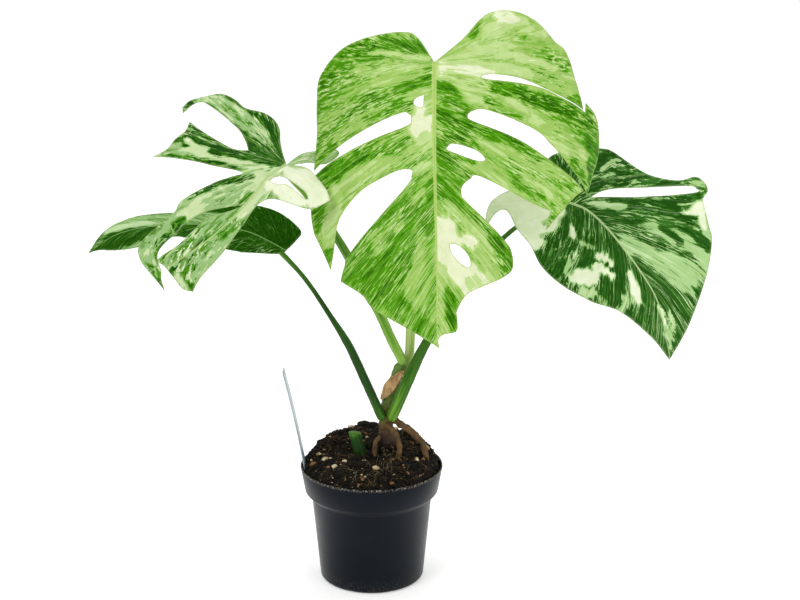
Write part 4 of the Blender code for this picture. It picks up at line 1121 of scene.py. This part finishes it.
def chunk(centre, size, seed, squash=0.75, divisions=1):
    """Points and faces of a small irregular lump."""
    shape = bmesh.new()
    bmesh.ops.create_icosphere(shape, subdivisions=divisions, radius=1.0)
    points = []
    for v in shape.verts:
        grow = 1.0 + 0.55 * noise.noise(v.co * 1.3 + Vector((seed * 3.7, seed * 1.3, 0.0)))
        points.append(centre + Vector((v.co.x * grow, v.co.y * grow, v.co.z * grow * squash)) * size)
    faces = [tuple(v.index for v in f.verts) for f in shape.faces]
    shape.free()
    return points, faces


def anywhere(chance, share):
    """A chance place over the soil, within a share of its radius."""
    reach = SOIL_RADIUS * share * math.sqrt(chance.random())
    angle = chance.random() * 2 * math.pi
    return reach * math.cos(angle), reach * math.sin(angle)


def scatter(name, material, slot, count, seed, sizes, sink=0.2, divisions=1, where=None, keep_in=0.97):
    """Many small lumps over the soil in one piece."""
    chance = np.random.default_rng(seed)
    parts = []
    for k in range(count):
        x, y = anywhere(chance, keep_in)
        size = chance.uniform(*sizes) * (0.5 + chance.random() ** 3)
        if where and not where(x, y):
            continue
        centre = Vector((x, y, soil_height(x, y) + size * sink))
        parts.append(chunk(centre, size, k + seed, divisions=divisions))
    mesh_object(name, *joined(parts), material, None, slot)


def strands(name, material, slot, lines, width):
    """Thin fibres, one small tube along each line, in one piece."""
    radii = (width, width * 0.8, width * 0.3)
    parts = [tube(line, radii, sides=4, step=2.0, blunt=False)[:2] for line in lines]
    mesh_object(name, *joined(parts), material, None, slot)


def soil_fibres(count, seed, length, lift, middle=(0.0, 0.0), spread=0.92):
    """Wandering lines over the soil round a middle, five points each or fewer where the wall is met."""
    chance = np.random.default_rng(seed)
    lines = []
    for _ in range(count):
        x, y = (m + c for m, c in zip(middle, anywhere(chance, spread)))
        heading = chance.random() * 2 * math.pi
        stride = chance.uniform(*length) / 4
        line = []
        for k in range(5):
            heading += chance.normal(0.0, 0.35)
            x += stride * math.cos(heading)
            y += stride * math.sin(heading)
            if math.hypot(x, y) > SOIL_RADIUS * 0.97:
                break
            rise = lift * math.sin(math.pi * k / 4) * chance.random()
            line.append(np.array([x, y, soil_height(x, y) + 0.0008 + rise]))
        if len(line) > 2:
            lines.append(line)
    return lines


def fibre_look(name, scale, dark, light, gloss):
    look = Look(name)
    tint = look.cloud(look.place(), scale, 2.0)
    look.set(Base_Color=look.ramp(tint, (0.4, dark), (0.6, light)), Roughness=gloss)
    return look.material


def build_granules():
    """The ten perlite granules of the solid model. Returns their material."""
    look = Look("perlite_grain")
    place = look.place()
    pits = look.cells(place, 1100.0)
    stain = look.cloud(place, 300.0)
    colour = look.ramp(stain, (0.38, srgb(150, 122, 78)), (0.5, srgb(204, 184, 140)),
                       (0.62, srgb(226, 216, 190)))
    look.set(Base_Color=look.mix(look.remap(pits, 0.0, 0.5, 0.35, 0.0), colour, srgb(96, 74, 44)),
             Roughness=0.9, Normal=look.bump(pits, 0.0008, 0.8))
    for k, (x, y, radius) in enumerate(GRANULES):
        centre = Vector((x * MM, y * MM, soil_height(x * MM, y * MM) + 0.35 * radius * MM))
        points, faces = chunk(centre, radius * MM * 0.95, k * 5.0, 0.8, 3)
        mesh_object(f"perlite_grain_{k + 1}", points, faces, look.material, f"perlite_{k + 1}")
    return look.material


def build_ground():
    """The soil and what lies on it. Counts, then seeds, then sizes or lengths."""
    peat = soil_look()
    build_soil(peat)
    grain = build_granules()
    scatter("soil_crumbs", peat, "soil", 2600, 3, (0.0007, 0.0021))
    scatter("soil_clods", peat, "soil", 120, 5, (0.0022, 0.0044), sink=0.1, divisions=2, keep_in=0.9)
    scatter("perlite_bits", grain, "perlite_1", 95, 8, (0.0005, 0.0013), sink=0.5,
            where=lambda x, y: x < 0.01 or y < -0.02)
    bark = bark_look("wood_crumb", srgb(60, 38, 20), srgb(128, 88, 50))
    scatter("bark_bits", bark, "soil", 260, 12, (0.0005, 0.0018), sink=0.5)
    fibre = fibre_look("root_fibre", 120.0, srgb(46, 28, 10), srgb(122, 92, 54), 0.8)
    strands("soil_fibre_mat", fibre, "aerial_root_left", soil_fibres(150, 21, (0.008, 0.024), 0.0025), 0.16)
    straw = fibre_look("pale_hair", 160.0, srgb(120, 100, 62), srgb(188, 172, 132), 0.7)
    hairs = soil_fibres(26, 33, (0.010, 0.020), 0.004, (0.004, -0.044), 0.22)
    hairs += soil_fibres(7, 34, (0.008, 0.016), 0.006, (0.012, -0.018), 0.12)
    strands("root_hairs", straw, "perlite_2", hairs, 0.08)


# ---------------------------------------------------------------- pot and label
def pot_profile(inset):
    """Profile of the pot's wall from base edge to rim, moved inwards by INSET, with each corner eased."""
    collar_foot = POT_TOP_RADIUS - COLLAR_TAPER - inset
    wall_top = collar_foot - STEP_DEPTH
    collar_z = POT_HEIGHT - COLLAR_HEIGHT + inset * 0.6
    step_z = POT_HEIGHT - COLLAR_HEIGHT - STEP_HEIGHT + inset * 0.3
    rounding = BASE_ROUNDING - inset
    corner = POT_BASE_RADIUS - BASE_ROUNDING
    turn = np.linspace(-math.pi / 2, 0.0, 9)
    foot = [(corner + rounding * math.cos(a), BASE_ROUNDING + rounding * math.sin(a)) for a in turn]
    return foot + [
        (wall_top - 0.0004, step_z - 0.0012), (wall_top + 0.0004, step_z + 0.0004),
        (collar_foot - 0.0008, collar_z - 0.0006), (collar_foot, collar_z + 0.0006),
        (POT_TOP_RADIUS - inset, POT_HEIGHT - RIM_DROP)]


def turned(profile, sides):
    """Points and faces of a closed body of revolution, from the axis back to the axis."""
    points = []
    rings = []
    for radius, height in profile:
        if radius == 0.0:
            rings.append([len(points)] * sides)
            points.append((0.0, 0.0, height))
            continue
        rings.append(list(range(len(points), len(points) + sides)))
        points += circle(radius, height, sides)
    faces = []
    for low, high in zip(rings[:-1], rings[1:]):
        for k in range(sides):
            m = (k + 1) % sides
            faces.append(tuple(dict.fromkeys([low[k], low[m], high[m], high[k]])))
    return points, faces


def pot_look():
    """Blue-black plastic with a thin film of dirt, and dust on the rim and the foot."""
    look = Look("pot_plastic")
    place = look.place()
    height = look.split(place)[2]
    smear = look.cloud(place, (26.0, 26.0, 40.0), 5.0, 0.65)
    speck = look.cloud(place, 700.0, 4.0, 0.7)
    rim = look.remap(height, POT_HEIGHT - 0.0022, POT_HEIGHT - 0.0004, 0.0, 1.0)
    foot = look.remap(height, 0.014, 0.001, 0.0, 0.14)
    dust = look.times(look.remap(speck, 0.50, 0.60, 0.0, 1.0), look.math("MAXIMUM", rim, foot))
    base = look.mix(look.remap(smear, 0.48, 0.78, 0.0, 0.14), srgb(7, 11, 18), srgb(26, 34, 44))
    look.set(Base_Color=look.mix(dust, base, srgb(150, 140, 122)),
             Roughness=look.remap(smear, 0.3, 0.7, 0.27, 0.38), Specular_IOR_Level=0.13,
             Specular_Tint=(0.72, 0.86, 1.0), Normal=look.bump(look.cloud(place, 2600.0, 2.0), 0.0002, 0.25))
    return look.material


def cut(piece, cutter):
    """Takes the cutter's shape out of a piece and removes the cutter."""
    change = piece.modifiers.new("drain", "BOOLEAN")
    change.operation = "DIFFERENCE"
    change.solver = "EXACT"
    change.object = cutter
    bpy.context.view_layer.update()
    mesh = bpy.data.meshes.new_from_object(piece.evaluated_get(bpy.context.evaluated_depsgraph_get()))
    piece.modifiers.clear()
    piece.data = mesh
    bpy.data.objects.remove(cutter, do_unlink=True)


def build_pot():
    lip = POT_WALL * 0.5
    rim_line = [(POT_TOP_RADIUS - lip + lip * math.cos(a), POT_HEIGHT - RIM_DROP + lip * math.sin(a))
                for a in np.linspace(0.3, math.pi - 0.3, 5)]
    profile = [(0.0, 0.0)] + pot_profile(0.0) + rim_line + pot_profile(POT_WALL)[::-1] + [(0.0, POT_WALL)]
    pot = mesh_object("pot_shell", *turned(profile, 192), pot_look(), "pot")
    peg = [(radius, DRAIN_PEG_FOOT) for radius in (0.0, DRAIN_RADIUS)]
    peg += [(radius, DRAIN_DEPTH) for radius in (DRAIN_RADIUS, 0.0)]
    spots, sides = turned(peg, 32)
    reach = POT_BASE_RADIUS * DRAIN_CIRCLE
    for k in range(DRAIN_HOLES):
        angle = 2 * math.pi * (k + 0.5) / DRAIN_HOLES
        places = [(x + reach * math.cos(angle), y + reach * math.sin(angle), z) for x, y, z in spots]
        cut(pot, new_object("peg", new_mesh("peg", places, sides)))
    pot.data.shade_smooth()
    pot.data.set_sharp_from_angle(angle=math.radians(38.0))


def build_label():
    """A strip leaning on the pot's wall, a little bowed and cupped, pointed below and rounded at the top."""
    look = Look("label_plastic")
    haze = look.cloud(look.place(), 60.0)
    look.set(Base_Color=look.ramp(haze, (0.35, srgb(142, 164, 172)), (0.65, srgb(172, 190, 196))),
             Roughness=0.3, Subsurface_Weight=0.2, Subsurface_Scale=0.002,
             Normal=look.bump(haze, 0.0004, 0.3))
    clear_radius = POT_TOP_RADIUS - POT_WALL - 2 * GAP
    at_rim = math.sqrt(clear_radius ** 2 - (LABEL_WIDTH / 2) ** 2) - 0.001
    rows = 60
    columns = 10
    points = []
    for r in range(rows + 1):
        share = r / rows
        up = -LABEL_BURIED + (LABEL_TOP + LABEL_BURIED) * share
        height = POT_HEIGHT + up * math.cos(LABEL_LEAN)
        out = at_rim + up * math.sin(LABEL_LEAN) - LABEL_BOW * math.sin(math.pi * share)
        trim = max(0.0, (up - LABEL_TOP + LABEL_CORNER) / LABEL_CORNER)
        half = LABEL_WIDTH / 2 * (0.55 + 0.45 * math.sqrt(max(0.0, 1.0 - trim ** 2)))
        half *= min(1.0, 0.15 + (up + LABEL_BURIED) / LABEL_POINT * 0.85)
        for c in range(columns + 1):
            across = 2.0 * c / columns - 1.0
            points.append((-out - LABEL_CUP * across ** 2, across * half, height))
    label = mesh_object("label_strip", points, quads(rows, columns), look.material, "plant_label")
    thicken(label, LABEL_THICKNESS, 0.0)


# ---------------------------------------------------------------- floor, light and camera
def build_floor():
    look = Look("floor_paper")
    look.set(Base_Color=(0.93, 0.93, 0.93), Roughness=0.9, Specular_IOR_Level=0.0,
             Emission_Color=(1.0, 1.0, 1.0), Emission_Strength=0.32)
    corners = [(x * FLOOR_HALF, y * FLOOR_HALF, 0.0) for x, y in ((-1, -1), (1, -1), (1, 1), (-1, 1))]
    mesh = new_mesh("floor", corners, [(0, 1, 2, 3)])
    mesh.materials.append(look.material)
    floor = new_object("floor", mesh)


def build_light():
    """A white sky, greyer low in front, and three square lamps."""
    world = bpy.data.worlds.new("studio")
    bpy.context.scene.world = world
    world.use_nodes = True
    sky = Nodes(world.node_tree)
    _, deep, high = sky.split(sky.node("TexCoord").outputs["Generated"])
    lean = sky.math("MULTIPLY_ADD", deep, 0.7, high)
    glow = sky.remap(lean, -0.5, 0.6, 0.30, 1.0, interpolation_type="SMOOTHSTEP")
    background = world.node_tree.nodes["Background"]
    sky.put(background.inputs["Color"], glow)
    sky.put(background.inputs["Strength"], 0.80)
    for name, place, aim, size, power in LIGHTS:
        light = bpy.data.lights.new(name, "AREA")
        light.shape = "SQUARE"
        light.size = size
        light.energy = power
        lamp = new_object(name, light)
        lamp.location = place
        lamp.rotation_euler = (Vector(aim) - Vector(place)).to_track_quat("-Z", "Y").to_euler()


def build_camera():
    lens = bpy.data.cameras.new("camera")
    lens.lens = CAMERA_LENS
    lens.sensor_width = 36.0
    camera = new_object("camera", lens)
    camera.location = CAMERA_PLACE
    camera.rotation_euler = (CAMERA_TILT, 0.0, 0.0)
    bpy.context.scene.camera = camera
    bpy.context.scene.view_settings.view_transform = "Standard"


build_camera()
build_floor()
build_light()
build_stalks(build_leaves())
build_stem()
build_roots()
build_stub()
build_sheath()
build_ground()
build_pot()
build_label()
